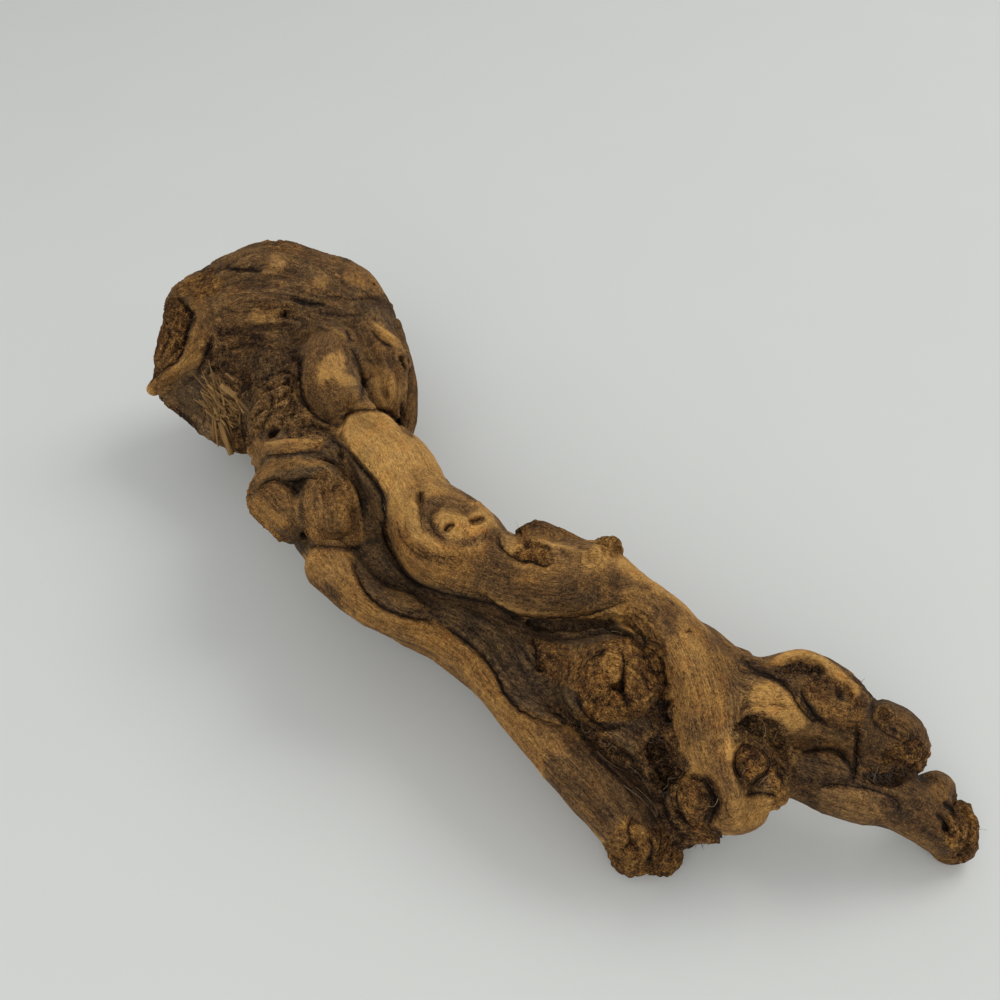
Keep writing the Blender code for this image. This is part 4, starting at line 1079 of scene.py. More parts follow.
def nearest_on(path: np.ndarray, points: np.ndarray) -> tuple:
    """The nearest place on a path.

    Args:
        path: Points (x, y, z, radius).
        points: The points to measure from.

    Returns:
        For each point, its distance from the path's skin, the length along the path, and the
        index of and share along the nearest piece.
    """
    best = np.full(len(points), np.inf)
    along = np.zeros(len(points))
    piece = np.zeros(len(points), int)
    share = np.zeros(len(points))
    start = 0.0
    for index, (a, b) in enumerate(zip(path[:-1], path[1:])):
        run = b[:3] - a[:3]
        length = float(np.linalg.norm(run)) + 1e-9
        t = np.clip((points - a[:3]) @ run / length**2, 0, 1)
        gap = np.linalg.norm(points - a[:3] - t[:, None] * run, axis=1) - (a[3] + t * (b[3] - a[3]))
        closer = gap < best
        best[closer] = gap[closer]
        along[closer] = start + t[closer] * length
        piece[closer] = index
        share[closer] = t[closer]
        start += length
    return best, along, piece, share


def outline_distance(pixels: np.ndarray, corners: np.ndarray) -> np.ndarray:
    """How far pixels lie outside the outline that corners give; negative inside."""
    best = np.full(len(pixels), np.inf)
    inside = np.zeros(len(pixels), bool)
    for a, b in zip(corners, np.roll(corners, -1, axis=0)):
        run = b - a
        t = np.clip((pixels - a) @ run / (run @ run), 0, 1)
        best = np.minimum(best, np.linalg.norm(pixels - a - t[:, None] * run, axis=1))
        if a[1] != b[1]:
            level = (a[1] > pixels[:, 1]) != (b[1] > pixels[:, 1])
            inside ^= level & (pixels[:, 0] < run[0] * (pixels[:, 1] - a[1]) / run[1] + a[0])
    return np.where(inside, -best, best)


def across_line(line: np.ndarray, pixels: np.ndarray) -> tuple:
    """Where pixels lie beside a line.

    Args:
        line: The line's points.
        pixels: The pixels.

    Returns:
        The distance across the line, with a sign for the side, and the share along it.
    """
    best = np.full(len(pixels), np.inf)
    side = np.ones(len(pixels))
    along = np.zeros(len(pixels))
    start = 0.0
    for a, b in zip(line[:-1], line[1:]):
        run = b - a
        length = float(np.hypot(*run)) + 1e-9
        offset = pixels - a
        t = np.clip(offset @ run / length**2, 0, 1)
        gap = np.linalg.norm(offset - t[:, None] * run, axis=1)
        closer = gap < best
        best[closer] = gap[closer]
        side[closer] = np.sign(run[0] * offset[closer, 1] - run[1] * offset[closer, 0] + 1e-9)
        along[closer] = start + t[closer] * length
        start += length
    return best * side, along / start


def mesh_from(name: str, points: np.ndarray, faces: np.ndarray) -> bpy.types.Mesh:
    """A smooth mesh in metres from points in mm and faces of one size."""
    mesh = bpy.data.meshes.new(name)
    corners = faces.shape[1]
    mesh.vertices.add(len(points))
    mesh.vertices.foreach_set("co", (points * MM).astype(np.float32).ravel())
    mesh.loops.add(faces.size)
    mesh.loops.foreach_set("vertex_index", faces.astype(np.int32).ravel())
    mesh.polygons.add(len(faces))
    mesh.polygons.foreach_set("loop_start", np.arange(0, faces.size, corners, dtype=np.int32))
    mesh.update(calc_edges=True)
    mesh.validate()
    mesh.shade_smooth()
    return mesh


def points_of(mesh: bpy.types.Mesh) -> np.ndarray:
    """A mesh's points in mm."""
    flat = np.empty(len(mesh.vertices) * 3, np.float32)
    mesh.vertices.foreach_get("co", flat)
    return flat.reshape(-1, 3).astype(float) / MM


def normals_of(mesh: bpy.types.Mesh) -> np.ndarray:
    """A mesh's normals at its points."""
    flat = np.empty(len(mesh.vertices) * 3, np.float32)
    mesh.vertex_normals.foreach_get("vector", flat)
    return flat.reshape(-1, 3).astype(float)


class Value:
    """A socket that sums and products can be written with."""

    def __init__(self, tree: "Tree", socket: bpy.types.NodeSocket) -> None:
        """Hold a socket of a tree."""
        self.tree = tree
        self.socket = socket

    def __add__(self, other: "Value | float") -> "Value":
        """The sum."""
        return self.tree.math("ADD", self, other)

    def __sub__(self, other: "Value | float") -> "Value":
        """The difference."""
        return self.tree.math("SUBTRACT", self, other)

    def __rsub__(self, other: float) -> "Value":
        """A number less the value."""
        return self.tree.math("SUBTRACT", other, self)

    def __mul__(self, other: "Value | float") -> "Value":
        """The product."""
        return self.tree.math("MULTIPLY", self, other)

    __radd__ = __add__
    __rmul__ = __mul__

    def absolute(self) -> "Value":
        """The value without its sign."""
        return self.tree.math("ABSOLUTE", self, 0.0)

    def sine(self) -> "Value":
        """The sine of the value in radians."""
        return self.tree.math("SINE", self, 0.0)

    def clamped(self) -> "Value":
        """The value held between 0 and 1."""
        return self.tree.math("MULTIPLY", self, 1.0, clamp=True)


class Tree:
    """A material's nodes."""

    def __init__(self, name: str) -> None:
        """Start a material with a Principled shader."""
        self.material = bpy.data.materials.new(name)
        self.material.use_nodes = True
        self.nodes = self.material.node_tree.nodes
        self.links = self.material.node_tree.links
        self.shader = self.nodes["Principled BSDF"]

    def node(self, kind: str, settings: dict | None = None, sockets: dict | None = None) -> bpy.types.Node:
        """Add a node.

        Args:
            kind: The node's type, without the ShaderNode that it starts with.
            settings: Its settings, set first. A ramp's stops are given as "stops".
            sockets: What goes in its sockets, by name or number: a value, a link or a number.

        Returns:
            The node.
        """
        node = self.nodes.new(f"ShaderNode{kind}")
        for name, setting in (settings or {}).items():
            if name == "stops":
                self.set_stops(node.color_ramp, setting)
            else:
                setattr(node, name, setting)
        for name, source in (sockets or {}).items():
            self.feed(node.inputs[name], source)
        return node

    def feed(self, socket: bpy.types.NodeSocket, source: "Value | float | tuple") -> None:
        """Put a value, a link or a number in a socket."""
        if isinstance(source, Value):
            self.links.new(source.socket, socket)
        else:
            socket.default_value = source

    @staticmethod
    def set_stops(ramp: bpy.types.ColorRamp, stops: tuple) -> None:
        """Set a ramp's stops from pairs of place and colour."""
        while len(ramp.elements) < len(stops):
            ramp.elements.new(1.0)
        for element, (place, colour) in zip(ramp.elements, stops):
            element.position = place
            element.color = (*colour, 1.0)

    def math(self, operation: str, a: "Value | float", b: "Value | float", clamp: bool = False) -> Value:
        """A Math node on two values."""
        node = self.node("Math", {"operation": operation, "use_clamp": clamp}, {0: a, 1: b})
        return Value(self, node.outputs[0])

    def attribute(self, name: str, output: str = "Fac") -> Value:
        """A value that the mesh holds at its points."""
        return Value(self, self.node("Attribute", {"attribute_name": name}).outputs[output])

    def scaled(self, vector: Value, scale: tuple) -> Value:
        """A vector with each part scaled by its own number."""
        node = self.node("VectorMath", {"operation": "MULTIPLY"}, {0: vector, 1: scale})
        return Value(self, node.outputs[0])

    def noise(self, vector: Value, scale: float, detail: float = 3.0, rough: float = 0.55,
              bend: float = 0.0) -> Value:
        """Noise from 0 to 1 over a vector."""
        sockets = {"Vector": vector, "Scale": scale, "Detail": detail, "Roughness": rough, "Distortion": bend}
        return Value(self, self.node("TexNoise", None, sockets).outputs["Fac"])

    def ramp(self, value: Value, stops: tuple) -> Value:
        """A colour read from stops."""
        return Value(self, self.node("ValToRGB", {"stops": stops}, {"Fac": value}).outputs["Color"])

    def mix(self, factor: "Value | float", a: "Value | tuple", b: "Value | tuple",
            blend: str = "MIX") -> Value:
        """Two colours mixed."""
        node = self.node("Mix", {"data_type": "RGBA", "blend_type": blend}, {0: factor, 6: a, 7: b})
        return Value(self, node.outputs[2])

    def bump(self, height: Value, distance: float, strength: float) -> Value:
        """A normal tilted by a height.

        Args:
            height: The height, in units of the distance.
            distance: What a height of one stands for, in metres.
            strength: How much of the tilt is used.

        Returns:
            The normal.
        """
        sockets = {"Height": height, "Distance": distance, "Strength": strength}
        return Value(self, self.node("Bump", None, sockets).outputs["Normal"])

    def finish(self, sockets: dict) -> bpy.types.Material:
        """Feed the shader's sockets and hand over the material."""
        for name, source in sockets.items():
            self.feed(self.shader.inputs[name], source)
        return self.material


@dataclass(frozen=True)
class WoodFinish:
    """Old vine wood: grey to ochre, with grain, speckle, and dirt and painted shade in its creases.

    Args:
        grey: Stops from dark to pale for wood that has gone grey.
        ochre: Stops from dark to pale for wood that has kept its colour.
        dirt_and_shade: The colour of the dirt and painted shade in cracks and hollows.
        rust: The tint of its red stains.
        streak_scale: Waves a mm of the broad streaks, along the grain and across it.
        thread_scale: Those of the fine lines.
        pore_scale: Those of the pores.
        relief: How high the bumps stand, in metres.
    """

    grey: tuple = (
        (0.0, (0.008, 0.0055, 0.0035)), (0.22, (0.041, 0.026, 0.014)), (0.45, (0.112, 0.070, 0.034)),
        (0.7, (0.245, 0.158, 0.076)), (1.0, (0.46, 0.32, 0.155)))
    ochre: tuple = (
        (0.0, (0.011, 0.005, 0.002)), (0.22, (0.060, 0.025, 0.008)), (0.45, (0.180, 0.084, 0.022)),
        (0.7, (0.41, 0.205, 0.050)), (1.0, (0.70, 0.385, 0.105)))
    dirt_and_shade: tuple = (0.010, 0.006, 0.0035, 1.0)
    rust: tuple = (0.94, 0.66, 0.48, 1.0)
    streak_scale: tuple = (0.022, 0.42, 0.42)
    thread_scale: tuple = (0.16, 2.4, 2.4)
    pore_scale: tuple = (0.42, 1.8, 1.8)
    relief: float = 1.1 * MM

    def material(self) -> bpy.types.Material:
        """The finish as a material."""
        tree = Tree("vine_wood")
        grain = tree.attribute("grain", "Vector")
        pale, warm = tree.attribute("pale"), tree.attribute("warm")
        rough, dirt_and_shade, wear_and_painted_light = tree.attribute("rough"), tree.attribute("dirt_and_shade"), tree.attribute("wear_and_painted_light")
        place = Value(tree, tree.node("TexCoord").outputs["Object"])

        streak = tree.noise(tree.scaled(grain, self.streak_scale), 1.0, 4.0, 0.62, 0.4)
        thread = tree.noise(tree.scaled(grain, self.thread_scale), 1.0, 3.0, 0.68)
        pore = tree.noise(tree.scaled(grain, self.pore_scale), 1.0, 2.0, 0.7)
        mottle = tree.noise(place, 55.0, 4.0, 0.6, 0.6)
        crumb = tree.noise(place, 420.0, 4.0, 0.68)
        speck = tree.noise(place, 1300.0, 2.0, 0.6)
        grit = ((tree.noise(place, 780.0, 3.0, 0.7) - 0.56) * 8.0).clamped()
        grit = grit * ((mottle - 0.36) * 3.5).clamped()
        stain = ((tree.noise(place, 105.0, 4.0, 0.66, 0.7) - 0.53) * 7.0).clamped()

        slate = ((0.5 - warm) * 3.0).clamped() * ((0.45 - pale) * 6.0).clamped()
        wave = (tree.attribute("lead") * 2.3 + (streak - 0.5) * 5.0 + mottle * 4.0).sine()
        # Dark lines of the cracks, their dirt and painted shade, and the knots' own dark rings.
        crack = (1.0 - tree.attribute("split").absolute()).clamped() * tree.attribute("open")
        pits = ((pore - 0.585) * 9.0).clamped()

        drift = (streak - 0.5) * (0.46 - rough * 0.05) + (mottle - 0.5) * 0.40
        fine = ((thread - 0.5) * 0.78 + (crumb - 0.5) * (rough * 0.95 + 0.42)
                + (speck - 0.5) * (rough * 0.5 + 0.6)
                - pits * 0.21 - grit * (rough * 0.14 + 0.11) + wave * slate * 0.05)
        # Tone: edges and bumps lighter and hollows darker, wear and painted light; darker for dirt and
        # painted shade.
        tone = (pale + drift + fine + (wear_and_painted_light - 0.5) * 0.34 - dirt_and_shade * 0.25).clamped()
        hue = (warm + (mottle - 0.5) * 0.8 + (streak - 0.5) * 0.5 + 0.05).clamped()
        wood = tree.mix(hue, tree.ramp(tone, self.grey), tree.ramp(tone, self.ochre))
        wood = tree.mix(stain * (0.42 - slate * 0.3), wood, self.rust, "MULTIPLY")
        # Dirt and painted shade in cracks and hollows draw the colour to near black.
        dirt_and_shade_share = tree.math("MAXIMUM", dirt_and_shade * 0.95, crack * 0.95)
        colour = tree.mix(dirt_and_shade_share, wood, self.dirt_and_shade)

        height = (streak * 0.5 + thread * (0.45 - rough * 0.2) + crumb * (rough * 1.5 + 0.3)
                  + speck * (rough * 0.35 + 0.2) - grit * 0.25 - pits * 0.32 - crack * 1.1
                  + wave * slate * 0.12)
        gloss = (0.7 + rough * 0.25 + (thread - 0.5) * 0.2).clamped()
        return tree.finish({
            "Base Color": colour, "Roughness": gloss, "Normal": tree.bump(height, self.relief, 1.0),
            "Specular IOR Level": 0.14})


@dataclass(frozen=True)
class SplinterFinish:
    """Freshly torn wood: straw-coloured, with fine lines along each splinter.

    Args:
        stops: Colours from dark to pale.
    """

    stops: tuple = (
        (0.0, (0.026, 0.013, 0.005)), (0.35, (0.130, 0.066, 0.020)), (0.7, (0.32, 0.178, 0.056)),
        (1.0, (0.52, 0.31, 0.12)))

    def material(self) -> bpy.types.Material:
        """The finish as a material."""
        tree = Tree("torn_wood")
        grain = tree.attribute("grain", "Vector")
        pale = tree.attribute("pale")
        line = tree.noise(tree.scaled(grain, (0.06, 2.2, 2.2)), 1.0, 4.0, 0.65)
        tone = (pale + (line - 0.5) * 1.5).clamped()
        return tree.finish({
            "Base Color": tree.ramp(tone, self.stops), "Roughness": 0.78,
            "Normal": tree.bump(line, 0.5 * MM, 0.9), "Specular IOR Level": 0.3})


@dataclass(frozen=True)
class FibreFinish:
    """Loose bark hairs, from dark brown to straw.

    Args:
        stops: Colours from dark to pale.
    """

    stops: tuple = ((0.0, (0.020, 0.012, 0.008)), (0.5, (0.11, 0.066, 0.034)), (1.0, (0.42, 0.30, 0.17)))

    def material(self) -> bpy.types.Material:
        """The finish as a material."""
        tree = Tree("bark_fibre")
        place = Value(tree, tree.node("TexCoord").outputs["Object"])
        patchy = tree.noise(place, 900.0, 2.0)
        tone = (tree.attribute("pale") + (patchy - 0.5) * 0.5).clamped()
        return tree.finish({"Base Color": tree.ramp(tone, self.stops), "Roughness": 0.8})


def add_piece(name: str, mesh: bpy.types.Mesh, material: bpy.types.Material) -> bpy.types.Object:
    """Put a mesh in the scene as a piece of the trunk's one body."""
    piece = placed(name, mesh)
    mesh.materials.clear()
    mesh.materials.append(material)
    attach(piece, "root")
    return piece


def store(mesh: bpy.types.Mesh, name: str, values: np.ndarray) -> None:
    """Keep a number or a vector at each point of a mesh."""
    vector = values.ndim == 2
    held = mesh.attributes.new(name, "FLOAT_VECTOR" if vector else "FLOAT", "POINT")
    held.data.foreach_set("vector" if vector else "value", values.astype(np.float32).ravel())


@dataclass
class Wood:
    """The trunk itself.

    Args:
        sight: The camera that pixels are read with.
        step: The grid's spacing in mm.
        rough_step: The spacing of the first grid, on which the folds are placed.
        triangles: The most triangles that the finished skin has.
        low: The grid's low corner in mm.
        high: The grid's high corner in mm.
        gap_blend: How far a gap's edges are rounded, in mm.
        bore_blend: How far a bore's edge is rounded, in mm.
        strand_reach: How far beyond a strand its grain and skin are read, in mm.
        lead_reach: The same for the strands that lead the core's lines.
        mixing: Over how many mm the looks of two strands mix.
        hidden: How far behind the surface in view a point starts and ends to count as hidden, in mm.
        waves: The length in mm of the waves in an outline, and how many pixels they move it.
        fringe: The same for the fine waves.
        jags: The same for the cracks.
        crack_margin: How many pixels beyond a crack it is read.
        probes: How far off the skin, in mm, the form is felt for creases and edges, near and wide, for the
            painted shade and highlight.
        foot: Between which heights, in mm, the shaping fades in above the ground.
        limits: How far in and out the skin may move, in mm.
        strands: Each strand's path and skin, and whether it leads the core's lines.
        hair_lines: The paths of the gaps, from which fibres start.
        form: The wood's field.
        fine_tree: The surface of that field, for rays.
    """

    sight: Sight
    step: float = 1.25
    rough_step: float = 2.5
    triangles: int = 192000
    low: tuple = (-292.0, -116.0, -6.0)
    high: tuple = (292.0, 116.0, 142.0)
    gap_blend: float = 1.2
    bore_blend: float = 1.0
    strand_reach: float = 14.0
    lead_reach: float = 45.0
    mixing: float = 1.6
    hidden: tuple = (7.0, 14.0)
    waves: tuple = (9.0, 2.4)
    fringe: tuple = (2.6, 1.6)
    jags: tuple = (2.8, 1.3)
    crack_margin: float = 14.0
    probes: tuple = (3.0, 9.0)
    foot: tuple = (0.4, 4.0)
    limits: tuple = (-3.5, 3.0)
    strands: dict = field(default_factory=dict)
    hair_lines: list = field(default_factory=list)
    form: Field = field(init=False)
    fine_tree: BVHTree = field(init=False)

    def grow(self) -> None:
        """Merge the limbs, lay the folds on them and cut the gaps and bores."""
        first = Field(self.low, self.high, self.rough_step)
        for name, limb in LIMBS.items():
            self.strands[name] = (limb.path(), limb.skin, limb.leads)
            first.add(limb.path(), limb.blend)
        skin = self.tree_of(*first.surface())

        self.form = Field(self.low, self.high, self.step)
        for limb in LIMBS.values():
            self.form.add(limb.path(), limb.blend)
        for number, fold in enumerate(FOLDS):
            path = self.laid(skin, fold.pixels, fold.radius, fold.lift)
            self.strands[f"fold_{number}"] = (path, fold.skin, False)
            self.form.add(path, fold.blend)
        for gap in GAPS:
            path = self.laid(skin, gap.pixels, gap.radius, -gap.sink)
            self.form.cut(path, self.gap_blend)
            self.hair_lines.append(path)
        for bore in BORES:
            found = self.sight.hit(skin, bore.pixel)
            if found is None:
                continue
            place, normal = found
            inward = unit(np.array(self.sight.ray(bore.pixel)) - normal)
            ends = np.array([place - inward * 2.0, place + inward * bore.depth])
            self.form.cut(np.hstack([ends, [[bore.radius], [bore.radius * 0.75]]]), self.bore_blend)
        self.form.flatten_below(0.0)

    @staticmethod
    def tree_of(points: np.ndarray, faces: np.ndarray) -> BVHTree:
        """The tree that rays are cast on."""
        return BVHTree.FromPolygons(points.tolist(), faces.tolist())

    def laid(self, skin: BVHTree, pixels: str, radius: float, lift: float) -> np.ndarray:
        """A path over the skin, tapered at both ends."""
        places, normals = self.sight.trace(skin, pixels)
        taper = np.sin(np.linspace(0.18, math.pi - 0.18, len(places)))**0.45
        return np.column_stack([places + normals * lift, radius * taper])

    def survey(self, points: np.ndarray) -> Survey:
        """Read every limb, patch and crack at the points of the skin."""
        count = len(points)
        total = np.full(count, 1e-9)
        grain = np.zeros((count, 3))
        looks = np.zeros((count, 3))
        lead = np.full(count, NO_LEAD)
        for path, skin, leads in self.strands.values():
            reach = path[:, 3].max() + (self.lead_reach if leads else self.strand_reach)
            low, high = path[:, :3].min(0) - reach, path[:, :3].max(0) + reach
            near = np.nonzero(np.all((points > low) & (points < high), axis=1))[0]
            if not len(near):
                continue
            gap, along, piece, share = nearest_on(path, points[near])
            if leads:
                lead[near] = np.minimum(lead[near], gap)
            weight = np.exp(-np.clip(gap, -5.0, 40.0) / self.mixing)
            local = self.along_grain(path, points[near], along, piece, share)
            total[near] += weight
            grain[near] += weight[:, None] * local
            bark = skin.value
            looks[near] += weight[:, None] * np.array([bark.pale, bark.warm, bark.rough])
        grain /= total[:, None]
        looks /= total[:, None]
        pixels, behind, pixel_size = self.sight.seen(self.fine_tree, points)
        return Survey(grain, *looks.T, lead, dirt_and_shade=np.zeros(count), shift=np.zeros(count), pixels=pixels,
                      in_view=1 - fade(behind, *self.hidden), pixel_size=pixel_size,
                      split=np.full(count, NO_SPLIT), open=np.zeros(count))

    @staticmethod
    def along_grain(path: np.ndarray, points: np.ndarray, along: np.ndarray, piece: np.ndarray,
                    share: np.ndarray) -> np.ndarray:
        """The coordinate that runs along a strand, and the two across it."""
        runs = unit(np.diff(path[:, :3], axis=0))
        heading = 1.0 if path[-1, 0] >= path[0, 0] else -1.0
        runs = runs * heading
        run = runs[piece]
        lift = unit(np.array([0.0, 0.0, 1.0]) - run * run[:, 2:3] + np.array([0.0, 1e-3, 0.0]))
        side = np.cross(lift, run)
        centre = path[piece, :3] * (1 - share[:, None]) + path[piece + 1, :3] * share[:, None]
        offset = points - centre
        middle = path[:, :3].mean(0)
        return np.column_stack([
            path[0, 0] + heading * along,
            np.einsum("ij,ij->i", offset, side) + middle[1],
            np.einsum("ij,ij->i", offset, lift) + middle[2]])

    @staticmethod
    def wander(points: np.ndarray, seed: int, waves: tuple, offsets: tuple) -> np.ndarray:
        """How far a drawn line strays from its place.

        Args:
            points: The points that it passes, in mm.
            seed: The seed of its waves.
            waves: Their length in mm, and how many pixels they move it.
            offsets: Where in the noise the shift to the right and the shift down are read.

        Returns:
            The shift in pixels at each point.
        """
        noise = Noise(seed)
        drifts = [noise.layered(points / waves[0] + offset, 2) for offset in offsets]
        return np.column_stack(drifts) * waves[1]

    def paint(self, points: np.ndarray, survey: Survey) -> None:
        """Lay the regions and patches over the limbs' own skins, with ragged edges."""
        in_view = survey.in_view
        strayed = self.wander(points, OUTLINE_WAVES, self.waves, (0.0, 31.0))
        strayed += self.wander(points, OUTLINE_FRINGE, self.fringe, (5.0, 47.0))
        moved = survey.pixels + strayed
        for region in REGIONS:
            outline = spots(region.outline)
            low, high = outline.min(0) - region.edge - 4, outline.max(0) + region.edge + 4
            near = np.nonzero(np.all((moved > low) & (moved < high), axis=1) & (in_view > 0))[0]
            gap = outline_distance(moved[near], outline)
            share = region.strength * in_view[near] * (1 - fade(gap, -region.edge, region.edge))
            self.cover(survey, near, share, region.skin)
        for patch in PATCHES:
            turn = math.radians(patch.turn)
            offset = moved - np.array(patch.pixel)
            across = offset[:, 0] * math.cos(turn) + offset[:, 1] * math.sin(turn)
            down = offset[:, 1] * math.cos(turn) - offset[:, 0] * math.sin(turn)
            spread = np.hypot(across / patch.size[0], down / patch.size[1])
            near = np.nonzero((spread < 1.4) & (in_view > 0))[0]
            share = patch.strength * in_view[near] * (1 - fade(spread[near], 0.7, 1.3))
            self.cover(survey, near, share, patch.skin)

    @staticmethod
    def cover(survey: Survey, near: np.ndarray, share: np.ndarray, skin: Skin) -> None:
        """Change some points' looks towards a skin by a share."""
        for name in ("pale", "warm", "rough"):
            held = getattr(survey, name)
            held[near] += share * (getattr(skin.value, name) - held[near])

    def crease(self, points: np.ndarray, survey: Survey) -> None:
        """Sink the cracks, and raise the knot rings."""
        moved = survey.pixels + self.wander(points, CRACK_JAGS, self.jags, (3.0, 41.0))
        for crack in CRACKS:
            line = smooth_path(spots(crack.pixels), 5)
            low, high = line.min(0) - self.crack_margin, line.max(0) + self.crack_margin
            near = np.nonzero(np.all((moved > low) & (moved < high), axis=1) & (survey.in_view > 0.5))[0]
            gap, share = across_line(line, moved[near])
            gap = gap * survey.pixel_size[near]
            taper = np.sqrt(np.clip(np.minimum(share, 1 - share) / 0.2, 0.0, 1.0))
            self.split(survey, near, gap / crack.width, crack.dirt_and_shade * taper)
            wide = max(1.0, 1.2 * crack.width)
            survey.shift[near] -= 0.8 * crack.depth * taper * np.exp(-(gap / wide)**2)
            survey.shift[near] += 0.22 * crack.depth * taper * np.exp(-((np.abs(gap) - 2.6 * wide) / wide)**2)
            # A dark halo of dirt and painted shade along each crack.
            stain = 0.25 * crack.dirt_and_shade * taper * np.exp(-(gap / 1.4)**2)
            survey.dirt_and_shade[near] = np.maximum(survey.dirt_and_shade[near], stain)
        for ring in RINGS:
            offset = np.hypot(*(moved - np.array(ring.pixel)).T) * survey.pixel_size
            near = np.nonzero((offset < 2.2 * ring.radius) & (survey.in_view > 0.5))[0]
            gap = offset[near] / ring.radius
            survey.shift[near] += ring.rim * np.exp(-((gap - 0.8) / 0.3)**2)
            survey.shift[near] -= ring.bowl * np.exp(-(gap / 0.6)**2)
            self.split(survey, near, (offset[near] - ring.radius) / 0.4, np.full(len(near), ring.line))

    @staticmethod
    def split(survey: Survey, near: np.ndarray, gap: np.ndarray, strength: np.ndarray) -> None:
        """Keep a crack at the points where it is the nearest one.

        Args:
            survey: What it is kept in.
            near: The points it may reach.
            gap: Their distance across it, in its widths, with a sign for the side.
            strength: How strong it is there.
        """
        strength = strength * (1 - fade(np.abs(gap), 3.5, 6.0))
        closer = (strength > 0.02) & (np.abs(gap) < np.abs(survey.split[near]))
        survey.split[near[closer]] = gap[closer]
        survey.open[near[closer]] = strength[closer]

    @staticmethod
    def weather(points: np.ndarray, survey: Survey) -> None:
        """Shape the grain, the lumps and the bark."""
        grain, rough = survey.grain, survey.rough
        slow, quick, rope = Noise(LUMPS), Noise(GRAIN_LINES), Noise(ROPES)
        lumps = slow.layered(points / 16.0, 2) * 0.9
        ropes = rope.ridged(grain * np.array([1 / 60.0, 1 / 7.5, 1 / 7.5]), 2) - 0.55
        lines = quick.layered(grain * np.array([1 / 26.0, 1 / 2.6, 1 / 2.6]), 2)
        crumbs = quick.layered(points / 3.2, 3)
        shreds = rope.ridged(grain * np.array([1 / 11.0, 1 / 3.2, 1 / 3.2]), 2) - 0.5
        slate = fade(0.42 - survey.pale, 0.0, 0.2) * fade(0.35 - survey.warm, 0.0, 0.2)
        bend = survey.lead + 2.6 * slow.layered(points / 14.0 + 5.0, 2)
        flow = np.sin(bend * (2 * math.pi / 3.6)) * slate
        wear_and_painted_light = fade(survey.warm, 0.3, 0.7)
        fibrous = fade(rough, 0.45, 1.0) * (1 - fade(survey.warm, 0.5, 0.85))
        corky = fade(rough, 0.45, 0.9) * fade(survey.warm, 0.5, 0.85)
        smooth = 1 - fade(rough, 0.08, 0.35)
        survey.shift += lumps * (0.55 + 0.5 * rough)
        survey.shift += ropes * (1.5 * fade(rough, 0.12, 0.4) + 0.35) * (1 - 0.6 * corky)
        survey.shift += lines * (0.22 + 0.35 * fade(rough, 0.15, 0.5)) * (1 - 0.5 * smooth)
        survey.shift += crumbs * (0.9 * corky + 0.45 * fibrous)
        survey.shift += shreds * 2.2 * fibrous
        survey.shift += flow * 0.25 * (1 - wear_and_painted_light)

    def build(self) -> bpy.types.Object:
        """Make the trunk's finished skin.

        Returns:
            The piece that stands for the trunk.
        """
        self.grow()
        points, faces = self.form.surface()
        self.fine_tree = self.tree_of(points, faces)
        mesh = mesh_from("trunk", points, faces)
        normals = normals_of(mesh)
        survey = self.survey(points)
        self.paint(points, survey)
        self.crease(points, survey)
        self.weather(points, survey)
        raised = fade(points[:, 2], *self.foot)
        moved = points + normals * (np.clip(survey.shift, *self.limits) * raised)[:, None]
        moved[:, 2] = np.maximum(moved[:, 2], 0.0)
        mesh.vertices.foreach_set("co", (moved * MM).astype(np.float32).ravel())
        mesh.update()

        piece = add_piece("wood", self.thinned(mesh), WoodFinish().material())
        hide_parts("grapewood")
        self.mark(piece.data)
        return piece

    def thinned(self, mesh: bpy.types.Mesh) -> bpy.types.Mesh:
        """The mesh with no more triangles than it may have."""
        item = placed("thinning", mesh)
        step = item.modifiers.new("thin", "DECIMATE")
        step.ratio = min(1.0, self.triangles / (2 * len(mesh.polygons)))
        bpy.context.view_layer.update()
        shown = item.evaluated_get(bpy.context.evaluated_depsgraph_get())
        thin = bpy.data.meshes.new_from_object(shown)
        bpy.data.objects.remove(item, do_unlink=True)
        thin.name = "wood"
        thin.shade_smooth()
        return thin

    def mark(self, mesh: bpy.types.Mesh) -> None:
        """Keep on the finished skin what its material reads."""
        points, normals = points_of(mesh), normals_of(mesh)
        survey = self.survey(points)
        self.paint(points, survey)
        self.crease(points, survey)
        near, wide = self.probes
        # Painted shade: where the form closes over a point, in creases and hollows, it is darkened.
        closed = (np.clip((near - self.form.sample(points + normals * near)) / near, 0, 1) * 0.75
                  + np.clip((wide - self.form.sample(points + normals * wide)) / wide, 0, 1) * 0.5)
        # Wear and painted light: open edges and raised bumps are lighter, hollows darker.
        open_edge = np.clip((self.form.sample(points - normals * near) + near) / near, 0, 1)
        height = np.einsum("ij,ij->i", points - self.snapped(points), normals)
        wear_and_painted_light = np.clip(0.5 + 0.35 * open_edge - 0.5 * closed + 0.28 * np.clip(height, -1.5, 1.2), 0, 1)
        for name in ("grain", "pale", "warm", "rough", "split", "open", "lead"):
            store(mesh, name, getattr(survey, name))
        # The dark share: the cracks' dirt and painted shade, and painted shade in the hollows.
        store(mesh, "dirt_and_shade", np.clip(np.maximum(survey.dirt_and_shade, 0.85 * fade(closed, 0.95, 1.6)), 0, 1))
        store(mesh, "wear_and_painted_light", wear_and_painted_light)

    def snapped(self, points: np.ndarray) -> np.ndarray:
        """The points moved back onto the unshaped form."""
        gap = self.form.sample(points)
        slope = np.column_stack([
            self.form.sample(points + axis) - self.form.sample(points - axis) for axis in np.eye(3)])
        return points - unit(slope) * gap[:, None]


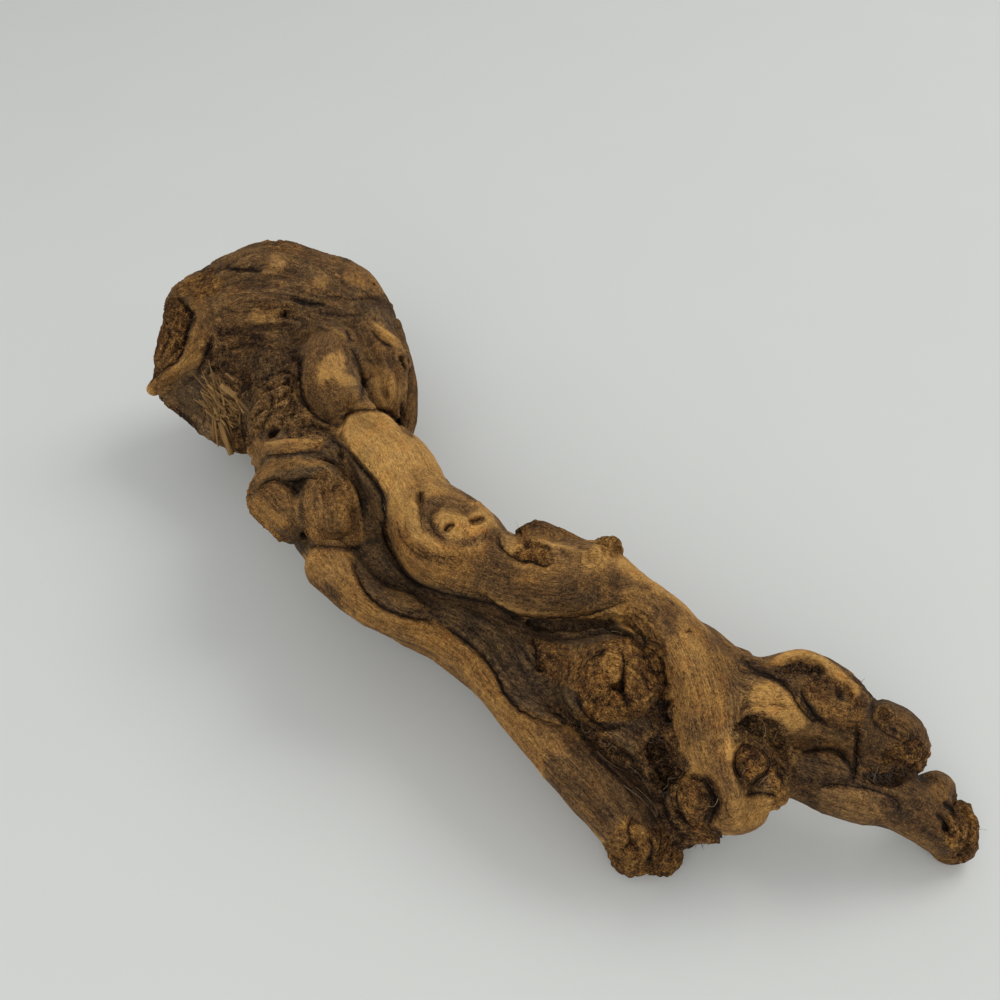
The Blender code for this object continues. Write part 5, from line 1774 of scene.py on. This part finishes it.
@dataclass
class Strips:
    """Many thin tapered strips, gathered in one mesh.

    Args:
        sides: How many sides each strip has.
        points: The strips' points in mm, an array for each.
        faces: The numbers of each triangle's corners.
        grain: A coordinate that runs along each strip.
        pale: How pale each point is.
        used: How many points there are.
    """

    sides: int = 4
    points: list = field(default_factory=list)
    faces: list = field(default_factory=list)
    grain: list = field(default_factory=list)
    pale: list = field(default_factory=list)
    used: int = 0

    def add(self, path: np.ndarray, widths: np.ndarray, flat: float, pale: float) -> None:
        """Add a closed strip.

        Args:
            path: Its middle line in mm.
            widths: Its half width at each point in mm.
            flat: Its thickness as a share of its width.
            pale: How pale it is.
        """
        runs = unit(np.gradient(path, axis=0))
        side = unit(np.cross(runs, np.array([0.31, 0.22, 0.92])))
        lift = np.cross(side, runs)
        turns = 2 * math.pi * np.arange(self.sides) / self.sides
        across = np.cos(turns)[None, :, None] * side[:, None]
        above = np.sin(turns)[None, :, None] * lift[:, None]
        rings = path[:, None] + widths[:, None, None] * (across + flat * above)
        count = len(path)
        base = self.used
        for ring in range(count - 1):
            for k in range(self.sides):
                a, b = base + ring * self.sides + k, base + ring * self.sides + (k + 1) % self.sides
                self.faces.append((a, b, b + self.sides))
                self.faces.append((a, b + self.sides, a + self.sides))
        for k in range(1, self.sides - 1):
            self.faces.append((base, base + k + 1, base + k))
            last = base + (count - 1) * self.sides
            self.faces.append((last, last + k, last + k + 1))
        along = lengths_along(path)
        self.points.append(rings.reshape(-1, 3))
        around = np.tile(turns, count)
        apart = 5.0 * self.used
        self.grain.append(np.column_stack([np.repeat(along, self.sides), around * 2 + apart, around * 0]))
        self.pale.append(np.full(count * self.sides, pale))
        self.used += count * self.sides

    def piece(self, name: str, material: bpy.types.Material) -> bpy.types.Object:
        """The strips as one piece."""
        mesh = mesh_from(name, np.concatenate(self.points), np.array(self.faces))
        store(mesh, "grain", np.concatenate(self.grain))
        store(mesh, "pale", np.concatenate(self.pale))
        return add_piece(name, mesh, material)


STICKS = (
    # Root pixel, tip pixel, half width in mm, how much it narrows, how pale it is
    ((236, 396), (220, 386), 2.2, 0.3, 0.72),
    ((250, 412), (235, 395), 1.2, 0.5, 0.50),
    ((221, 422), (230, 456), 2.3, 0.2, 0.60),
    ((224, 420), (232, 440), 1.2, 0.7, 0.35),
    ((215, 418), (217, 446), 1.0, 0.7, 0.7),
    ((213, 416), (213, 440), 0.8, 0.7, 0.6),
    ((216, 402), (190, 368), 1.0, 0.85, 0.5),
    ((215, 400), (203, 372), 1.2, 0.85, 0.7),
    ((219, 398), (207, 361), 1.2, 0.85, 0.6),
    ((223, 396), (211, 365), 1.0, 0.85, 0.45),
    ((212, 408), (200, 392), 1.5, 0.7, 0.75),
    ((214, 414), (202, 401), 1.5, 0.7, 0.6),
    ((216, 418), (205, 409), 1.6, 0.5, 0.6),
    ((222, 412), (243, 426), 1.3, 0.6, 0.5),
    ((224, 404), (246, 420), 1.4, 0.6, 0.4),
)


@dataclass
class TornTuft:
    """The heap of torn splinters at the open side of the head.

    Args:
        sight: The camera that pixels are read with.
        count: How many small splinters the heap has.
        centre: The heap's middle pixel.
        reach: Its half size in pixels.
        height: How high it stands in mm.
        length: The least and greatest length of a small splinter in mm.
        width: The least and greatest half width of one in mm.
        spread: How widely the roots lie, as a share of the heap's half size.
        slant: The splinters' turn below the picture's right, in degrees, and how much it varies.
        raised: How far in front of the surface the sticks' tips lie, in mm.
        sunk: How much deeper their roots lie, in mm.
    """

    sight: Sight
    count: int = 240
    centre: tuple = (222, 404)
    reach: tuple = (15, 19)
    height: float = 8.0
    length: tuple = (6.0, 16.0)
    width: tuple = (0.4, 1.3)
    spread: float = 0.55
    slant: tuple = (52.0, 20.0)
    raised: float = 6.0
    sunk: float = 4.0

    def build(self, skin: BVHTree) -> bpy.types.Object:
        """Make the tuft, with its roots sunk in the wood.

        Args:
            skin: The wood's surface.

        Returns:
            The piece.
        """
        draw = np.random.default_rng(SPLINTER_DRAW)
        right, up, forward = (np.array(axis) for axis in self.sight.axes())
        strips = Strips(sides=5)
        for _ in range(self.count):
            spread = np.clip(draw.normal(size=2) * self.spread, -1.2, 1.2)
            found = self.sight.hit(skin, tuple(np.array(self.centre) + spread * self.reach))
            if found is None:
                continue
            turn = math.radians(draw.normal(*self.slant))
            aim = unit(right * math.cos(turn) - up * math.sin(turn) + forward * draw.normal() * 0.25)
            lift = self.height * max(0.0, 1 - float(spread @ spread)) * draw.uniform(0.0, 1.0)
            length = draw.uniform(*self.length)
            root = found[0] + found[1] * lift + aim * length * 0.5
            self.splinter(strips, draw, root, -aim, length, draw.uniform(*self.width), 0.6,
                          draw.uniform(0.15, 0.9))
        eye = np.array(self.sight.eye)
        for root, tip, width, narrow, pale in STICKS:
            away = np.linalg.norm(self.sight.hit(skin, root)[0] - eye) - self.raised
            start = eye + np.array(self.sight.ray(root)) * (away + self.sunk)
            end = eye + np.array(self.sight.ray(tip)) * away
            length = float(np.linalg.norm(end - start))
            self.splinter(strips, draw, start, (end - start) / length, length, width, narrow, pale)
        return strips.piece("torn_splinters", SplinterFinish().material())

    @staticmethod
    def splinter(strips: Strips, draw: np.random.Generator, root: np.ndarray, aim: np.ndarray, length: float,
                 width: float, narrow: float, pale: float) -> None:
        """Add one splinter, bent a little, with its width lessened towards its tip."""
        t = np.linspace(0, 1, 7)
        bend = unit(draw.normal(size=3)) * length * 0.06
        path = root + aim * (t * length)[:, None] + bend * (t**2)[:, None]
        widths = width * (1 - narrow * t**1.4) * draw.uniform(0.88, 1.12, size=7)
        strips.add(path, widths, draw.uniform(0.5, 0.9), pale)


@dataclass
class LooseFibres:
    """Bark hairs that stand out of the gaps and off the skin.

    Args:
        sight: The camera that pixels are read with.
        in_gaps: How many start in gaps.
        on_skin: How many start anywhere.
        length: Their least and greatest length in mm.
        width: Their least and greatest radius in mm.
    """

    sight: Sight
    in_gaps: int = 190
    on_skin: int = 60
    length: tuple = (2.5, 9.0)
    width: tuple = (0.07, 0.16)

    def build(self, lines: list, surface: BVHTree, skin: bpy.types.Mesh) -> bpy.types.Object:
        """Make the fibres.

        Args:
            lines: The paths of the gaps.
            surface: The surface that rootlets lie on.
            skin: The wood's mesh.

        Returns:
            The piece.
        """
        draw = np.random.default_rng(FIBRE_DRAW)
        strips = Strips(sides=3)
        lengths = np.array([len(line) for line in lines], float)
        for _ in range(self.in_gaps):
            line = lines[draw.choice(len(lines), p=lengths / lengths.sum())]
            spot = line[draw.integers(len(line))]
            root = spot[:3] + draw.normal(size=3) * spot[3] * 0.6
            self.fibre(strips, draw, root, unit(draw.normal(size=3) + np.array([0.1, -0.3, 0.5])), 1.0)
        points, normals = points_of(skin), normals_of(skin)
        for index in draw.integers(len(points), size=self.on_skin):
            aim = unit(normals[index] * 0.7 + draw.normal(size=3) * 0.6)
            self.fibre(strips, draw, points[index] - normals[index] * 0.6, aim, 0.6)
        for pixels in ROOTLETS:
            places, out = self.sight.trace(surface, pixels, 5.0)
            path = smooth_path(places + out * 0.9, 3)
            strips.add(path, np.linspace(0.20, 0.10, len(path)), 1.0, draw.uniform(0.35, 0.6))
        for brush in BRUSHES:
            self.brush(strips, draw, surface, brush)
        return strips.piece("bark_fibres", FibreFinish().material())

    def brush(self, strips: Strips, draw: np.random.Generator, surface: BVHTree, brush: Brush) -> None:
        """Add a row of short fibres that lean one way."""
        right, up, forward = (np.array(axis) for axis in self.sight.axes())
        line = smooth_path(spots(brush.pixels), 6)
        for _ in range(brush.count):
            found = self.sight.hit(surface, line[draw.integers(len(line))] + draw.normal(size=2) * 3.0)
            if found is None:
                continue
            aim = right * brush.lean[0] - up * brush.lean[1] - forward * 0.25 + draw.normal(size=3) * 0.45
            length = brush.length * draw.uniform(0.4, 1.0)
            t = np.linspace(0, 1, 5)
            bend = draw.normal(size=3) * length * 0.12
            path = found[0] - found[1] * 0.8 + unit(aim) * (t * length)[:, None] + bend * (t**2)[:, None]
            path[:, 2] = np.maximum(path[:, 2], 0.4)
            strips.add(path, draw.uniform(0.12, 0.3) * (1 - 0.7 * t), 0.8, draw.uniform(0.0, brush.pale))

    def fibre(self, strips: Strips, draw: np.random.Generator, root: np.ndarray, aim: np.ndarray,
              share: float) -> None:
        """Add one curved fibre."""
        length = draw.uniform(*self.length) * share
        t = np.linspace(0, 1, 6)
        curl = unit(draw.normal(size=3)) * length * draw.uniform(0.1, 0.4)
        path = root + aim * (t * length)[:, None] + curl * np.sin(t * draw.uniform(2.0, 4.5))[:, None]
        path[:, 2] = np.maximum(path[:, 2], 0.4)
        strips.add(path, draw.uniform(*self.width) * (1 - 0.6 * t), 1.0, draw.uniform(0.15, 1.0))


@dataclass(frozen=True)
class Lamp:
    """A square soft light.

    Args:
        name: Its name.
        place: Where it hangs, in metres.
        power: Its power in watts.
        colour: Its colour.
        aim: The point that it faces, in metres.
        side: Its side in metres.
    """

    name: str
    place: tuple
    power: float
    colour: tuple
    aim: tuple = (0.0, 0.0, 0.05)
    side: float = 1.8

    def hang(self) -> None:
        """Add the lamp to the scene."""
        light = bpy.data.lights.new(self.name, "AREA")
        light.size = self.side
        light.energy = self.power
        light.color = self.colour
        lamp = placed(self.name, light)
        lamp.location = self.place
        lamp.rotation_mode = "QUATERNION"
        lamp.rotation_quaternion = (Vector(self.aim) - Vector(self.place)).to_track_quat("-Z", "Y")


@dataclass(frozen=True)
class Studio:
    """The plain pale floor and the soft light.

    Args:
        floor_side: The floor's side in metres.
        floor_colour: Its colour.
        shade: How much darker its clouds are.
        sky: The colour and strength of the light from all round.
        lamps: The lamps, behind the trunk and in front of it.
    """

    floor_side: float = 12.0
    floor_colour: tuple = (0.71, 0.725, 0.70, 1.0)
    shade: float = 0.97
    sky: tuple = ((0.985, 0.99, 1.0, 1.0), 0.52)
    lamps: tuple = (
        Lamp("key", (0.6, 2.0, 2.6), 32.0, (1.0, 0.99, 0.97)),
        Lamp("fill", (0.9, -1.7, 1.5), 21.0, (1.0, 1.0, 1.0)))

    def floor(self) -> None:
        """Lay the floor."""
        half = self.floor_side / 2
        mesh = bpy.data.meshes.new("floor")
        corners = [(-half, -half, 0), (half, -half, 0), (half, half, 0), (-half, half, 0)]
        mesh.from_pydata(corners, [], [(0, 1, 2, 3)])
        floor = placed("floor", mesh)
        tree = Tree("pale_floor")
        place = Value(tree, tree.node("TexCoord").outputs["Object"])
        cloud = tree.noise(place, 6.0, 2.0)
        shaded = (*(self.shade * part for part in self.floor_colour[:3]), 1.0)
        pale = tree.mix(cloud, self.floor_colour, shaded)
        mesh.materials.append(tree.finish({"Base Color": pale, "Roughness": 0.75, "Specular IOR Level": 0.2}))

    def light(self) -> None:
        """Set the sky and hang the lamps."""
        world = bpy.data.worlds.new("sky")
        bpy.context.scene.world = world
        world.use_nodes = True
        backdrop = world.node_tree.nodes["Background"]
        backdrop.inputs["Color"].default_value = self.sky[0]
        backdrop.inputs["Strength"].default_value = self.sky[1]
        for lamp in self.lamps:
            lamp.hang()
        bpy.context.scene.view_settings.view_transform = "Standard"


def main() -> None:
    """Build the pieces in order."""
    logging.basicConfig(level=logging.INFO, format="%(name)s: %(message)s")
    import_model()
    sight = Sight()
    sight.place_camera()
    studio = Studio()
    studio.floor()
    studio.light()

    wood = Wood(sight)
    trunk = wood.build()
    LOG.info("trunk: %d faces", len(trunk.data.polygons))
    tuft = TornTuft(sight).build(wood.fine_tree)
    LOG.info("torn splinters: %d faces", len(tuft.data.polygons))
    fibres = LooseFibres(sight).build(wood.hair_lines, wood.fine_tree, trunk.data)
    LOG.info("bark fibres: %d faces", len(fibres.data.polygons))


if __name__ == "__main__":
    main()
